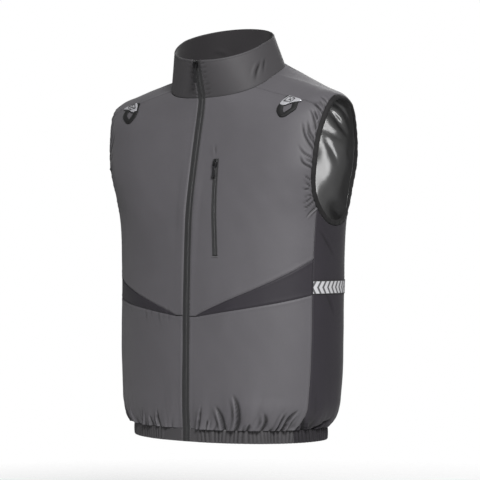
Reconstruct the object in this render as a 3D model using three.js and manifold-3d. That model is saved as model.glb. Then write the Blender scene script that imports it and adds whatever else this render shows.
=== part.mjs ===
import * as THREE from "three";
import { mergeVertices } from "three/addons/utils/BufferGeometryUtils.js";
import Module from "manifold-3d";

// A sleeveless work vest of thin woven cloth, in the form it has when worn.
// It has a stand collar, a zip up the front, a zipped chest pocket on the wearer's left,
// dark wedges and side panels, bound armholes and an elastic hem.
// Millimetres. +Z is up, -Y is the front and +X is the wearer's left.
// The origin lies midway between the two points where the collar meets the shoulders.

// Length and girth of the body
const BODY_LENGTH = 644; // side of the neck to the lower edge of the hem
const ARMPIT_DROP = 269; // side of the neck down to the lowest point of the armhole
const CHEST_HALF_WIDTH = 217;
const CHEST_FRONT = 139; // centre of the body out to the front
const CHEST_BACK = 128;
const SHOULDER_HALF_WIDTH = 239;
const SHOULDER_DROP = 55;
const NECK_HALF_WIDTH = 103;
const NECK_FRONT = 92;
const NECK_BACK = 67;
const NECK_FRONT_DROP = 43;
const NECK_BACK_RISE = 34;

// Collar
const COLLAR_HALF_WIDTH = 88; // at its upper edge
const COLLAR_FRONT = 111;
const COLLAR_BACK = 63;
const COLLAR_SIDE_HEIGHT = 62;
const COLLAR_FRONT_HEIGHT = 65;
const COLLAR_BACK_HEIGHT = 58;
const COLLAR_TILT = 6.5; // the upper edge rises by this on the wearer's right and falls on the left
const COLLAR_THICKNESS = 1.6;

// Cloth
const CLOTH = 1.2;
const LINING = 1.0;
const LINING_GAP = 2.4; // air between the shell and the lining
const LINING_TRIM = 1; // how far the side and yoke linings stay back from their seams
const LINING_NECK_TRIM = 4; // how far all linings stay below the collar seam
const SEAM = 0.4; // space between neighbouring pieces

// Armhole, as an oval in the body's own angle and level
const ARMHOLE_FRONT_ANGLE = 32.5; // degrees forward of the side line
const ARMHOLE_BACK_ANGLE = 35;
const BINDING_WIDTH = 9;
const BINDING_THICKNESS = 4.2;

// Side panel and its reflective strip
const SIDE_PANEL_FRONT = 50; // forward of the side line
const SIDE_PANEL_BACK = 62;
const SIDE_PANEL_SPREAD = 9; // wider than that at the hem
const STRIP_DROP = 387; // side of the neck down to the strip's lower edge
const STRIP_HEIGHT = 24;
const STRIP_THICKNESS = 0.8;

// Hem
const HEM_HEIGHT = 23;
const HEM_THICKNESS = 2.4;
const RIB_PITCH = 12;
const RIB_HEIGHT = 1.5;
const GATHER_HEIGHT = 7; // how far the largest fold above the hem stands out

// Front zip and pocket zip
const ZIP_HALF_WIDTH = 7;
const CHAIN_HALF_WIDTH = 2.6;
const CHAIN_HEIGHT = 1.0; // stands this far above the cloth
const TAPE_THICKNESS = 0.9;
const POCKET_X = 48; // upper end of the pocket zip, from the centre front
const POCKET_TOP_DROP = 152;
const POCKET_LENGTH = 169;
const POCKET_HALF_WIDTH = 5;
const POCKET_LEAN = 10; // the lower end lies this much further out
const BARTACK_HEIGHT = 2.2;

// Sliders and pulls
const SLIDER_WIDTH = 9;
const SLIDER_LENGTH = 13;
const SLIDER_THICKNESS = 2.4;
const BRIDGE_WIDTH = 2.4;
const BRIDGE_HEIGHT = 4.2; // above the slider's plate
const BRIDGE_LENGTH = 8;
const BRIDGE_WALL = 1.2;
const PULL_PIN_RADIUS = 0.8;
const PULL_THICKNESS = 1.6;
const PULL_WIDTH = 6.4;
const PULL_ARM = 1.4;
const FRONT_PULL_LENGTH = 31;
const POCKET_PULL_LENGTH = 25;
const PULL_CLEARANCE = 0.4;

// Loops on the front of the shoulders, sewn into the yoke seam
const LOOP_LEVEL = 0.35; // share of the way from the shoulder tip to the neck
const LOOP_BAND = 6;
const LOOP_THICKNESS = 1.6;
const LOOP_SIZE = 50; // the outlines of the loop and its tab are shares of this
const TAB_THICKNESS = 1.0;

const HEM_TOP = -(BODY_LENGTH - HEM_HEIGHT);
const ARMPIT = -ARMPIT_DROP;
const RIGHT_ANGLE = Math.PI / 2;
const RADIANS = Math.PI / 180;

// Sections of the body below the armholes.
// up runs from the hem band (0) to the armpit (1); width, front and back are shares of the chest's sizes.
const TORSO = [
  { up: 0.0, width: 0.86, front: 1.0, back: 0.84, square: 2.1 },
  { up: 0.045, width: 0.93, front: 1.01, back: 0.88, square: 2.2 },
  { up: 0.1, width: 0.97, front: 1.02, back: 0.875, square: 2.3 },
  { up: 0.17, width: 0.985, front: 1.02, back: 0.9, square: 2.3 },
  { up: 0.34, width: 1.0, front: 1.015, back: 0.94, square: 2.3 },
  { up: 0.68, width: 1.0, front: 1.0, back: 1.0, square: 2.3 },
  { up: 1.0, width: 1.005, front: 0.965, back: 1.0, square: 2.45 },
];

// Sections beside the armhole.
// up runs from the armpit (0) to the shoulder tip (1). out is the share of the way from the chest's
// half width to the shoulder's. frontFall and backFall say how far the front and the back lie on
// the way from the armpit (1) to the neck (0); front and back are shares of the chest's depths.
const SHOULDER_SIDE = [
  {
    up: 0.28, out: 0.4, square: 2.75, shift: 0.2,
    front: 0.925, frontFall: 0.79, back: 0.99, backFall: 0.82,
  },
  {
    up: 0.56, out: 0.86, square: 3.05, shift: 0.5,
    front: 0.87, frontFall: 0.61, back: 0.965, backFall: 0.64,
  },
  {
    up: 0.8, out: 1.03, square: 3.0, shift: 0.8,
    front: 0.81, frontFall: 0.43, back: 0.9, backFall: 0.47,
  },
  {
    up: 1.0, out: 1.0, square: 2.8, shift: 1.0,
    front: 0.755, frontFall: 0.28, back: 0.81, backFall: 0.32,
  },
];

// Sections over the shoulder, from the shoulder tip to the neck.
// out is the share of the way from the neck's half width to the shoulder's; fall is the same for
// the height of the shoulder line; front, back and their falls run from the neck (0) to the tip (1).
const SHOULDER_TOP = [
  {
    along: 0.12, out: 0.93, fall: 0.74, square: 2.65, bend: 1.9,
    front: 0.8, frontFall: 0.82, back: 0.8, backFall: 0.8,
  },
  {
    along: 0.4, out: 0.68, fall: 0.49, square: 2.5, bend: 1.6,
    front: 0.5, frontFall: 0.56, back: 0.5, backFall: 0.52,
  },
  {
    along: 0.7, out: 0.35, fall: 0.23, square: 2.5, bend: 1.25,
    front: 0.22, frontFall: 0.28, back: 0.22, backFall: 0.24,
  },
  {
    along: 1.0, out: 0.0, fall: 0.0, square: 2.55, bend: 1,
    front: 0.0, frontFall: 0.0, back: 0.0, backFall: 0.0,
  },
];

// Wedges in the front. Drops are from the side of the neck.
const WEDGES = {
  left: { tipX: 20, tipDrop: 426, upperDrop: 329, lowerDrop: 388 },
  right: { tipX: 24, tipDrop: 425, upperDrop: 345, lowerDrop: 393 },
};
const WEDGE_TIP_HEIGHT = 1.6;

// Shoulder yokes: where their seams meet the neck and the armhole.
// neckAngle is in degrees from the centre front, armLevel is a share of the way up the armhole.
const YOKE = { neckAngle: 56, armLevel: 0.822 };

// Soft folds that rise from the hem band.
// at is a share of the chest's half width from the centre front, towards the wearer's left where
// positive; wide is a share of the same; tall is a share of the body's length; high is a share of
// the largest fold.
const FRONT_GATHERS = [
  { at: -0.66, wide: 0.12, tall: 0.08, high: 0.45 },
  { at: -0.42, wide: 0.11, tall: 0.07, high: 0.55 },
  { at: -0.22, wide: 0.1, tall: 0.06, high: 0.4 },
  { at: 0.16, wide: 0.09, tall: 0.12, high: 0.8 },
  { at: 0.29, wide: 0.09, tall: 0.07, high: 0.5 },
  { at: 0.41, wide: 0.09, tall: 0.13, high: 0.9 },
  { at: 0.56, wide: 0.11, tall: 0.16, high: 1.0 },
  { at: 0.72, wide: 0.1, tall: 0.1, high: 0.8 },
];
const BACK_GATHERS = 9; // evenly spaced folds above the back hem
const BACK_GATHER_TALL = 0.09;

// Value of one column of a section table at a level, on a smooth curve through its rows.
function along(rows, key, level) {
  const last = rows.length - 1;
  const found = rows.findIndex((row) => row.level >= level);
  const i = found < 0 ? last : Math.max(found, 1);
  const slope = (a, b) => (rows[b][key] - rows[a][key]) / (rows[b].level - rows[a].level);
  const here = slope(i - 1, i);
  const before = i > 1 ? (slope(i - 2, i - 1) + here) / 2 : here;
  const after = i === last ? here : (here + slope(i, i + 1)) / 2;
  const span = rows[i].level - rows[i - 1].level;
  const t = Math.min(Math.max((level - rows[i - 1].level) / span, 0), 1);
  const s = 1 - t;
  return (
    (1 + 2 * t) * s * s * rows[i - 1][key] +
    t * s * s * span * before +
    t * t * (3 - 2 * t) * rows[i][key] -
    t * t * s * span * after
  );
}

// Outline of a shoulder loop and rows of the bright tab on it, as shares of the loop's size.
// away and the tab's from and to run along the yoke seam from the neck, down runs down the front.
const LOOP_OUTLINE = [
  { away: 0.12, down: 0.02 },
  { away: -0.36, down: 0.02 },
  { away: -0.24, down: 0.3 },
  { away: 0, down: 0.62 },
  { away: 0.34, down: 0.86 },
  { away: 0.66, down: 0.94 },
  { away: 0.74, down: 0.84 },
  { away: 0.68, down: 0.66 },
  { away: 0.58, down: 0.44 },
  { away: 0.36, down: 0.24 },
];
const TAB_ROWS = [
  { down: 0.02, from: -0.32, to: 0.06 },
  { down: 0.16, from: -0.27, to: 0.08 },
  { down: 0.28, from: -0.21, to: 0.12 },
  { down: 0.4, from: -0.13, to: 0.24 },
  { down: 0.5, from: -0.06, to: 0.35 },
  { down: 0.56, from: 0.1, to: 0.25 },
];

const mix = THREE.MathUtils.lerp;

// All sections of the body, by level: 0 hem band, 1 armpit, 2 shoulder tip, 3 neck.
function bodySections() {
  const armpitFront = TORSO[TORSO.length - 1].front * CHEST_FRONT;
  const neckShift = (NECK_BACK - NECK_FRONT) / 2;
  const torso = TORSO.map((row) => ({
    level: row.up,
    sideX: row.width * CHEST_HALF_WIDTH,
    sideY: 0,
    sideZ: mix(HEM_TOP, ARMPIT, row.up),
    frontY: -row.front * CHEST_FRONT,
    frontZ: mix(HEM_TOP, ARMPIT, row.up),
    backY: row.back * CHEST_BACK,
    backZ: mix(HEM_TOP, ARMPIT, row.up),
    square: row.square,
    bend: 2,
  }));
  const side = SHOULDER_SIDE.map((row) => ({
    level: 1 + row.up,
    sideX: mix(CHEST_HALF_WIDTH, SHOULDER_HALF_WIDTH, row.out),
    sideY: row.shift * neckShift,
    sideZ: mix(ARMPIT, -SHOULDER_DROP, row.up),
    frontY: -Math.min(row.front * CHEST_FRONT, armpitFront),
    frontZ: mix(-NECK_FRONT_DROP, ARMPIT, row.frontFall),
    backY: row.back * CHEST_BACK,
    backZ: mix(NECK_BACK_RISE, ARMPIT, row.backFall),
    square: row.square,
    bend: 2,
  }));
  const tip = side[side.length - 1];
  const top = SHOULDER_TOP.map((row) => ({
    level: 2 + row.along,
    sideX: mix(NECK_HALF_WIDTH, SHOULDER_HALF_WIDTH, row.out),
    sideY: neckShift,
    sideZ: -row.fall * SHOULDER_DROP,
    frontY: mix(-NECK_FRONT, tip.frontY, row.front),
    frontZ: mix(-NECK_FRONT_DROP, tip.frontZ, row.frontFall),
    backY: mix(NECK_BACK, tip.backY, row.back),
    backZ: mix(NECK_BACK_RISE, tip.backZ, row.backFall),
    square: row.square,
    bend: row.bend,
  }));
  return [...torso, ...side, ...top];
}

const BODY = bodySections();
const BODY_KEYS = Object.keys(BODY[0]).filter((key) => key !== "level");
const sectionCache = new Map();

function sectionAt(level) {
  if (!sectionCache.has(level)) {
    sectionCache.set(level, Object.fromEntries(BODY_KEYS.map((key) => [key, along(BODY, key, level)])));
  }
  return sectionCache.get(level);
}

// A point on a section, by the angle from the centre front: 90 degrees is the wearer's left side.
function onSection(section, angle) {
  const s = Math.sin(angle);
  const c = Math.cos(angle);
  const n = section.square;
  const reach = (Math.abs(s) ** n + Math.abs(c) ** n) ** (-1 / n);
  const end = c >= 0 ? { y: section.frontY, z: section.frontZ } : { y: section.backY, z: section.backZ };
  return new THREE.Vector3(
    section.sideX * reach * s,
    section.sideY + (end.y - section.sideY) * reach * Math.abs(c),
    section.sideZ + (end.z - section.sideZ) * (reach * Math.abs(c)) ** section.bend,
  );
}

const smoothBody = (angle, level) => onSection(sectionAt(level), angle);

// Outward normal of a surface that is given as a function of two numbers.
function normalOf(surface, a, b) {
  const step = 0.004;
  const overA = surface(a + step, b).sub(surface(a - step, b));
  const overB = surface(a, b + step).sub(surface(a, b - step));
  return overA.cross(overB).normalize();
}

// Angle on a section at which the front has a given x, or the side a given y.
function sectionAngleAtX(x, section) {
  const q = Math.abs(x / section.sideX) ** section.square;
  return Math.sign(x) * Math.atan((q / (1 - q)) ** (1 / section.square));
}

const angleAtX = (x, level) => sectionAngleAtX(x, sectionAt(level));

function angleAtY(y, level) {
  const section = sectionAt(level);
  const depth = y < section.sideY ? section.frontY - section.sideY : section.backY - section.sideY;
  const q = Math.abs((y - section.sideY) / depth) ** -section.square;
  const off = Math.atan((1 / (q - 1)) ** (1 / section.square));
  return RIGHT_ANGLE + (y < section.sideY ? -off : off);
}

// Level at which the front panel has a given height, at a given x.
function levelAtHeight(x, z) {
  let low = 0;
  let high = 3;
  while (high - low > 1e-4) {
    const middle = (low + high) / 2;
    if (smoothBody(angleAtX(x, middle), middle).z < z) low = middle;
    else high = middle;
  }
  return (low + high) / 2;
}

const torsoLevel = (z) => (z - HEM_TOP) / (ARMPIT - HEM_TOP);

// The angle moved by a distance along the section, towards the back where positive.
function angleMoved(angle, level, distance) {
  const step = 0.01;
  const reach = smoothBody(angle + step, level).distanceTo(smoothBody(angle - step, level)) / (2 * step);
  return angle + distance / reach;
}

// The level moved by a distance up the body.
function levelMoved(angle, level, distance) {
  const step = 0.01;
  const reach = smoothBody(angle, level + step).distanceTo(smoothBody(angle, level - step)) / (2 * step);
  return level + distance / reach;
}

// The armhole's seam, an oval in angle and level. Its top lies on the shoulder tip.
const ARMHOLE = { low: 1.005, high: 2.1, power: 2.3, lean: 6 * RADIANS };
ARMHOLE.middle = (ARMHOLE.low + ARMHOLE.high) / 2;
ARMHOLE.half = (ARMHOLE.high - ARMHOLE.low) / 2;

function armholeAngle(level, front) {
  const share = Math.abs((level - ARMHOLE.middle) / ARMHOLE.half);
  const reach = Math.max(1 - share ** ARMHOLE.power, 0) ** (1 / ARMHOLE.power);
  const wide = (front ? -ARMHOLE_FRONT_ANGLE : ARMHOLE_BACK_ANGLE) * RADIANS;
  return RIGHT_ANGLE + wide * reach + ARMHOLE.lean * reach * (ARMHOLE.middle - level);
}

// The level at which the armhole's lower or upper half has an angle.
function armholeLevel(angle, upper) {
  let near = ARMHOLE.middle;
  let far = upper ? ARMHOLE.high : ARMHOLE.low;
  for (let k = 0; k < 24; k += 1) {
    const level = (near + far) / 2;
    const front = angle < RIGHT_ANGLE;
    const inside = front ? armholeAngle(level, true) < angle : armholeAngle(level, false) > angle;
    if (inside) near = level;
    else far = level;
  }
  return (near + far) / 2;
}

// Folds above the hem, in millimetres out from the smooth body.
function gathers(angle, level) {
  const point = smoothBody(angle, level);
  const rise = (point.z - HEM_TOP) / BODY_LENGTH;
  const bump = (off, wide, tall) => {
    const across = Math.max(1 - (off / wide) ** 2, 0);
    const up = Math.max(1 - rise / tall, 0);
    return across * across * up * up;
  };
  if (Math.cos(angle) > 0) {
    const at = point.x / CHEST_HALF_WIDTH;
    const sum = FRONT_GATHERS.reduce((total, g) => total + g.high * bump(at - g.at, g.wide, g.tall), 0);
    return GATHER_HEIGHT * sum;
  }
  const wave = 0.5 - 0.5 * Math.cos((2 * Math.PI * BACK_GATHERS * (angle - RIGHT_ANGLE)) / Math.PI);
  return 0.6 * GATHER_HEIGHT * wave * bump(0, 1, BACK_GATHER_TALL);
}

// Outward direction of the cloth. It is level along the hem seam.
function clothNormal(angle, level) {
  const normal = normalOf(smoothBody, angle, level);
  return normal.setZ(normal.z * Math.min(level / 0.05, 1)).normalize();
}

// The shell's outer face with its folds, or a wall at a depth under it.
function shellPoint(angle, level, depth = 0) {
  return smoothBody(angle, level).addScaledVector(clothNormal(angle, level), gathers(angle, level) - depth);
}

function liningPoint(angle, level, depth) {
  return smoothBody(angle, level).addScaledVector(clothNormal(angle, level), -depth);
}

// A closed wall between two faces, each given as a function of (s, t) from 0 to 1.
// s runs to the right seen from outside, t runs up. A wall that goes all the way round is closed in s.
function wall(columns, rows, outer, inner, closed = false) {
  const wide = closed ? columns : columns + 1;
  const points = [];
  const faces = [];
  for (const face of [outer, inner]) {
    for (let j = 0; j <= rows; j += 1) {
      for (let i = 0; i < wide; i += 1) points.push(...face(i / columns, j / rows).toArray());
    }
  }
  const back = wide * (rows + 1);
  const at = (i, j) => (i % wide) + j * wide;
  const quad = (a, b, c, d) => faces.push(a, b, c, a, c, d);
  for (let j = 0; j < rows; j += 1) {
    for (let i = 0; i < columns; i += 1) {
      quad(at(i, j), at(i + 1, j), at(i + 1, j + 1), at(i, j + 1));
      quad(back + at(i, j), back + at(i, j + 1), back + at(i + 1, j + 1), back + at(i + 1, j));
    }
    if (!closed) {
      quad(at(0, j), at(0, j + 1), back + at(0, j + 1), back + at(0, j));
      quad(at(columns, j + 1), at(columns, j), back + at(columns, j), back + at(columns, j + 1));
    }
  }
  for (let i = 0; i < columns; i += 1) {
    quad(at(i + 1, 0), at(i, 0), back + at(i, 0), back + at(i + 1, 0));
    quad(at(i, rows), at(i + 1, rows), back + at(i + 1, rows), back + at(i, rows));
  }
  const geometry = new THREE.BufferGeometry();
  geometry.setAttribute("position", new THREE.Float32BufferAttribute(points, 3));
  geometry.setIndex(faces);
  return geometry;
}

// A profile of (across, out) points, run along stations that each hold a point and its two directions.
function sweep(stations, profile, closed = false) {
  const count = profile.length;
  const points = [];
  const faces = [];
  for (const { point, across, out } of stations) {
    for (const [a, o] of profile) {
      points.push(...point.clone().addScaledVector(across, a).addScaledVector(out, o).toArray());
    }
  }
  const steps = closed ? stations.length : stations.length - 1;
  for (let k = 0; k < steps; k += 1) {
    const here = k * count;
    const next = ((k + 1) % stations.length) * count;
    for (let i = 0; i < count; i += 1) {
      const j = (i + 1) % count;
      faces.push(here + i, here + j, next + j, here + i, next + j, next + i);
    }
  }
  if (!closed) {
    const end = (stations.length - 1) * count;
    for (let i = 1; i < count - 1; i += 1) {
      faces.push(0, i + 1, i, end, end + i, end + i + 1);
    }
  }
  const geometry = new THREE.BufferGeometry();
  geometry.setAttribute("position", new THREE.Float32BufferAttribute(points, 3));
  geometry.setIndex(faces);
  return geometry;
}

// Joins closed geometries into one.
const wasm = await Module();
wasm.setup();

function joined(...geometries) {
  const solids = geometries.map((geometry) => {
    const plain = geometry.clone();
    plain.deleteAttribute("normal");
    plain.deleteAttribute("uv");
    const merged = mergeVertices(plain, 1e-4);
    const triVerts = new Uint32Array(merged.index.array);
    return new wasm.Manifold(
      new wasm.Mesh({ numProp: 3, vertProperties: merged.attributes.position.array, triVerts }),
    );
  });
  const mesh = solids.reduce((sum, solid) => sum.add(solid)).getMesh();
  const geometry = new THREE.BufferGeometry();
  geometry.setAttribute("position", new THREE.BufferAttribute(new Float32Array(mesh.vertProperties), 3));
  geometry.setIndex(new THREE.BufferAttribute(new Uint32Array(mesh.triVerts), 1));
  return geometry;
}

const cloth = (color, roughness, metalness = 0) =>
  new THREE.MeshStandardMaterial({ color, roughness, metalness });
const MATERIALS = {
  shell: cloth(0x5f5e61, 0.8),
  panel: cloth(0x3a383b, 0.85),
  binding: cloth(0x252427, 0.9),
  lining: cloth(0x1d1d1e, 0.25, 0.3),
  facing: cloth(0x2c2b2d, 0.8),
  strip: cloth(0xb9babd, 0.45, 0.2),
  tape: cloth(0x343436, 0.8),
  chain: cloth(0x232325, 0.5),
  slider: cloth(0x2a2a2c, 0.35, 0.7),
  pull: cloth(0x242426, 0.45),
  loop: cloth(0x2f2f31, 0.8),
  tab: cloth(0xc6c7cb, 0.4, 0.3),
};

const vest = new THREE.Group();

function signedVolume(geometry) {
  const p = geometry.attributes.position;
  const a = new THREE.Vector3();
  const b = new THREE.Vector3();
  const c = new THREE.Vector3();
  let sum = 0;
  for (let i = 0; i < geometry.index.count; i += 3) {
    a.fromBufferAttribute(p, geometry.index.getX(i));
    b.fromBufferAttribute(p, geometry.index.getX(i + 1));
    c.fromBufferAttribute(p, geometry.index.getX(i + 2));
    sum += a.dot(b.cross(c));
  }
  return sum;
}

// Adds a piece, with its faces turned outwards.
function piece(name, geometry, material) {
  if (signedVolume(geometry) < 0) {
    geometry.setIndex(Array.from(geometry.index.array).reverse());
  }
  const mesh = new THREE.Mesh(geometry, material);
  mesh.name = name;
  vest.add(mesh);
  return mesh;
}

// A wall over a patch of the body. place gives the angle and level at (s, t); the wearer's right
// side is the left one turned over.
function panel(columns, rows, place, face, thickness, flip = false, under = 0) {
  const at = (depth) => (s, t) => {
    const { angle, level } = place(flip ? 1 - s : s, t);
    return face(flip ? -angle : angle, level, depth);
  };
  return wall(columns, rows, at(under), at(under + thickness));
}

const halfSeam = SEAM / 2;
const UNDER_SHELL = CLOTH + LINING_GAP;
const sideSpread = (level) => SIDE_PANEL_SPREAD * Math.max(1 - level, 0);
const frontSeamY = (level) => -SIDE_PANEL_FRONT - sideSpread(level);
const backSeamY = (level) => SIDE_PANEL_BACK + sideSpread(level);

// Level at which a side seam runs into the armhole.
function seamTop(seamY, front) {
  let low = ARMHOLE.low;
  let high = ARMHOLE.middle;
  while (high - low > 1e-5) {
    const middle = (low + high) / 2;
    const past = front
      ? armholeAngle(middle, true) < angleAtY(seamY(middle), middle)
      : armholeAngle(middle, false) > angleAtY(seamY(middle), middle);
    if (past) high = middle;
    else low = middle;
  }
  return (low + high) / 2;
}

const FRONT_SEAM_TOP = seamTop(frontSeamY, true);
const BACK_SEAM_TOP = seamTop(backSeamY, false);
const YOKE_LEVEL = mix(ARMHOLE.low, ARMHOLE.high, YOKE.armLevel);
const NECK_ANGLE = YOKE.neckAngle * RADIANS;
const YOKE_ROWS = 5;
const YOKE_COLUMNS = 9;
const SIDE_COLUMNS = 8;
const BESIDE_ROWS = 6;

// The yoke's seam, from the armhole (0) to the neck (1).
function yokeSeam(share, front) {
  const armAngle = armholeAngle(YOKE_LEVEL, front);
  const neckAngle = front ? NECK_ANGLE : Math.PI - NECK_ANGLE;
  return { level: mix(YOKE_LEVEL, 3, share), angle: mix(armAngle, neckAngle, 1 - (1 - share) ** 3) };
}

// Outer edge of the front or back panels at a level: side seam, then armhole, then yoke seam.
function outerEdge(level, front) {
  const seamLevel = front ? FRONT_SEAM_TOP : BACK_SEAM_TOP;
  if (level < seamLevel) return angleAtY((front ? frontSeamY : backSeamY)(level), level);
  if (level < YOKE_LEVEL) return armholeAngle(level, front);
  return yokeSeam((level - YOKE_LEVEL) / (3 - YOKE_LEVEL), front).angle;
}

// Levels of a panel's rows, so that rows meet the corners of its edge.
function levelRows(below, beside, front, crowding = 1.25) {
  const seamLevel = front ? FRONT_SEAM_TOP : BACK_SEAM_TOP;
  const levels = [];
  for (let k = 0; k < below; k += 1) levels.push(seamLevel * (k / below) ** crowding);
  for (let k = 0; k < beside; k += 1) levels.push(mix(seamLevel, YOKE_LEVEL, k / beside));
  for (let k = 0; k <= YOKE_ROWS; k += 1) levels.push(mix(YOKE_LEVEL, 3, k / YOKE_ROWS));
  return levels;
}

// Angle across the front at a level, from the zip's edge to the outer edge; one column lies at
// the wedge's tip.
const TIP_SHARE = 1 / 12;

function frontAngle(s, level, side) {
  const start = angleAtX(ZIP_HALF_WIDTH + halfSeam, level);
  const tip = angleAtX(WEDGES[side].tipX, level);
  const end = angleMoved(outerEdge(level, true), level, -halfSeam);
  return s < TIP_SHARE ? mix(start, tip, s / TIP_SHARE) : mix(tip, end, (s - TIP_SHARE) / (1 - TIP_SHARE));
}

// Level of a wedge's upper or lower edge at s, moved up by a gap.
function wedgeLevel(s, side, upper, gap) {
  const { tipDrop, upperDrop, lowerDrop } = WEDGES[side];
  const share = Math.max((s - TIP_SHARE) / (1 - TIP_SHARE), 0);
  const tip = -tipDrop + (upper ? WEDGE_TIP_HEIGHT : -WEDGE_TIP_HEIGHT) / 2;
  return torsoLevel(mix(tip, -(upper ? upperDrop : lowerDrop), share ** (upper ? 0.93 : 1)) + gap);
}

// Rows of the panels on both sides of a side seam meet at the same levels.
const LOWER_ROWS = 6;
const WEDGE_ROWS = 1;
const UPPER_ROWS = 3;
const SIDE_ROWS = LOWER_ROWS + WEDGE_ROWS + UPPER_ROWS;
const lowerShare = (t) => t ** 1.6;

function frontSeamLevels(side) {
  const low = wedgeLevel(1, side, false, 0);
  const high = wedgeLevel(1, side, true, 0);
  const levels = [];
  for (let k = 0; k < LOWER_ROWS; k += 1) levels.push(low * lowerShare(k / LOWER_ROWS));
  for (let k = 0; k < WEDGE_ROWS; k += 1) levels.push(mix(low, high, k / WEDGE_ROWS));
  for (let k = 0; k <= UPPER_ROWS; k += 1) levels.push(mix(high, FRONT_SEAM_TOP, k / UPPER_ROWS));
  return levels;
}

function frontPanels(side, flip) {
  const lower = (s, t) => {
    const level = wedgeLevel(s, side, false, -halfSeam) * lowerShare(t);
    return { level, angle: frontAngle(s, level, side) };
  };
  piece(`front_lower_${side}`, panel(24, LOWER_ROWS, lower, shellPoint, CLOTH, flip), MATERIALS.shell);

  const wedge = (s, t) => {
    const across = mix(TIP_SHARE, 1, s);
    const low = wedgeLevel(across, side, false, halfSeam);
    const level = mix(low, wedgeLevel(across, side, true, -halfSeam), t);
    return { level, angle: frontAngle(across, level, side) };
  };
  piece(`front_wedge_${side}`, panel(11, WEDGE_ROWS, wedge, shellPoint, CLOTH, flip), MATERIALS.panel);

  const above = levelRows(1, BESIDE_ROWS, true).slice(1);
  const below = UPPER_ROWS;
  const rows = below + above.length - 1;
  const upper = (s, t) => {
    const row = Math.round(t * rows);
    const low = wedgeLevel(s, side, true, halfSeam);
    const plain = row < below ? mix(low, FRONT_SEAM_TOP, row / below) : above[row - below];
    const angle = frontAngle(s, plain, side);
    return { level: row === rows ? levelMoved(angle, plain, -halfSeam) : plain, angle };
  };
  piece(`front_upper_${side}`, panel(12, rows, upper, shellPoint, CLOTH, flip), MATERIALS.shell);

  const inside = levelRows(4, 5, true, 0.9);
  const last = inside.length - 1;
  const backing = (s, t) => {
    const row = Math.round(t * last);
    const angle = frontAngle(s, inside[row], side);
    return { level: row === last ? levelMoved(angle, inside[row], -LINING_NECK_TRIM) : inside[row], angle };
  };
  const geometry = panel(7, last, backing, liningPoint, LINING, flip, UNDER_SHELL);
  piece(`lining_front_${side}`, geometry, MATERIALS.lining);
}

// The back, in one panel from side seam to side seam.
function backPanel() {
  const place = (levels, trim) => (s, t) => {
    const row = Math.round(t * (levels.length - 1));
    const edge = angleMoved(outerEdge(levels[row], false), levels[row], halfSeam);
    const angle = mix(edge, 2 * Math.PI - edge, s);
    return { level: row === levels.length - 1 ? levelMoved(angle, 3, -trim) : levels[row], angle };
  };
  const outer = levelRows(SIDE_ROWS, BESIDE_ROWS, false);
  const shell = panel(18, outer.length - 1, place(outer, halfSeam), shellPoint, CLOTH);
  piece("back_panel", shell, MATERIALS.shell);
  const inner = levelRows(4, 5, false, 0.9);
  const trimmed = place(inner, LINING_NECK_TRIM);
  const lining = panel(12, inner.length - 1, trimmed, liningPoint, LINING, false, UNDER_SHELL);
  piece("lining_back", lining, MATERIALS.lining);
}

// The armhole's seam along a side panel's top edge, from its front corner to its back corner.
const armpitLevel = (s) =>
  armholeLevel(mix(armholeAngle(FRONT_SEAM_TOP, true), armholeAngle(BACK_SEAM_TOP, false), s), false);

function sidePanel(side, flip) {
  const atLevel = (s, level, trim = 0) => {
    const front = angleMoved(angleAtY(frontSeamY(level), level), level, halfSeam + trim);
    const back = angleMoved(angleAtY(backSeamY(level), level), level, -halfSeam - trim);
    return { level, angle: mix(front, back, s) };
  };
  const place = (frontLevels, backLevels, trim = 0) => (s, t) => {
    const last = frontLevels.length - 1;
    const row = Math.round(t * last);
    const top = levelMoved(RIGHT_ANGLE, armpitLevel(s), -halfSeam - trim);
    const share = top / mix(FRONT_SEAM_TOP, BACK_SEAM_TOP, s);
    const level = mix(frontLevels[row], backLevels[row], s) * share;
    const corners = [FRONT_SEAM_TOP, BACK_SEAM_TOP].map((at, i) => armholeAngle(at, i === 0));
    const atTop = row === last && trim === 0;
    return atTop ? { level, angle: mix(corners[0], corners[1], s) } : atLevel(s, level, trim);
  };
  const outer = place(frontSeamLevels(side), levelRows(SIDE_ROWS, BESIDE_ROWS, false));
  const shell = panel(SIDE_COLUMNS, SIDE_ROWS, outer, shellPoint, CLOTH, flip);
  piece(`side_panel_${side}`, shell, MATERIALS.panel);
  const [frontRows, backRows] = [true, false].map((front) => levelRows(4, 5, front, 0.9).slice(0, 5));
  const inner = place(frontRows, backRows, LINING_TRIM);
  const geometry = panel(5, 4, inner, liningPoint, LINING, flip, UNDER_SHELL);
  piece(`lining_side_${side}`, geometry, MATERIALS.lining);

  // The strip lies on the side panel, on the same columns.
  const strip = (s, t) => atLevel(s, torsoLevel(mix(-STRIP_DROP, -STRIP_DROP + STRIP_HEIGHT, t)));
  const above = -SEAM - STRIP_THICKNESS;
  const band = panel(SIDE_COLUMNS, 1, strip, shellPoint, STRIP_THICKNESS, flip, above);
  piece(`reflective_strip_${side}`, band, MATERIALS.strip);
}

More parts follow.
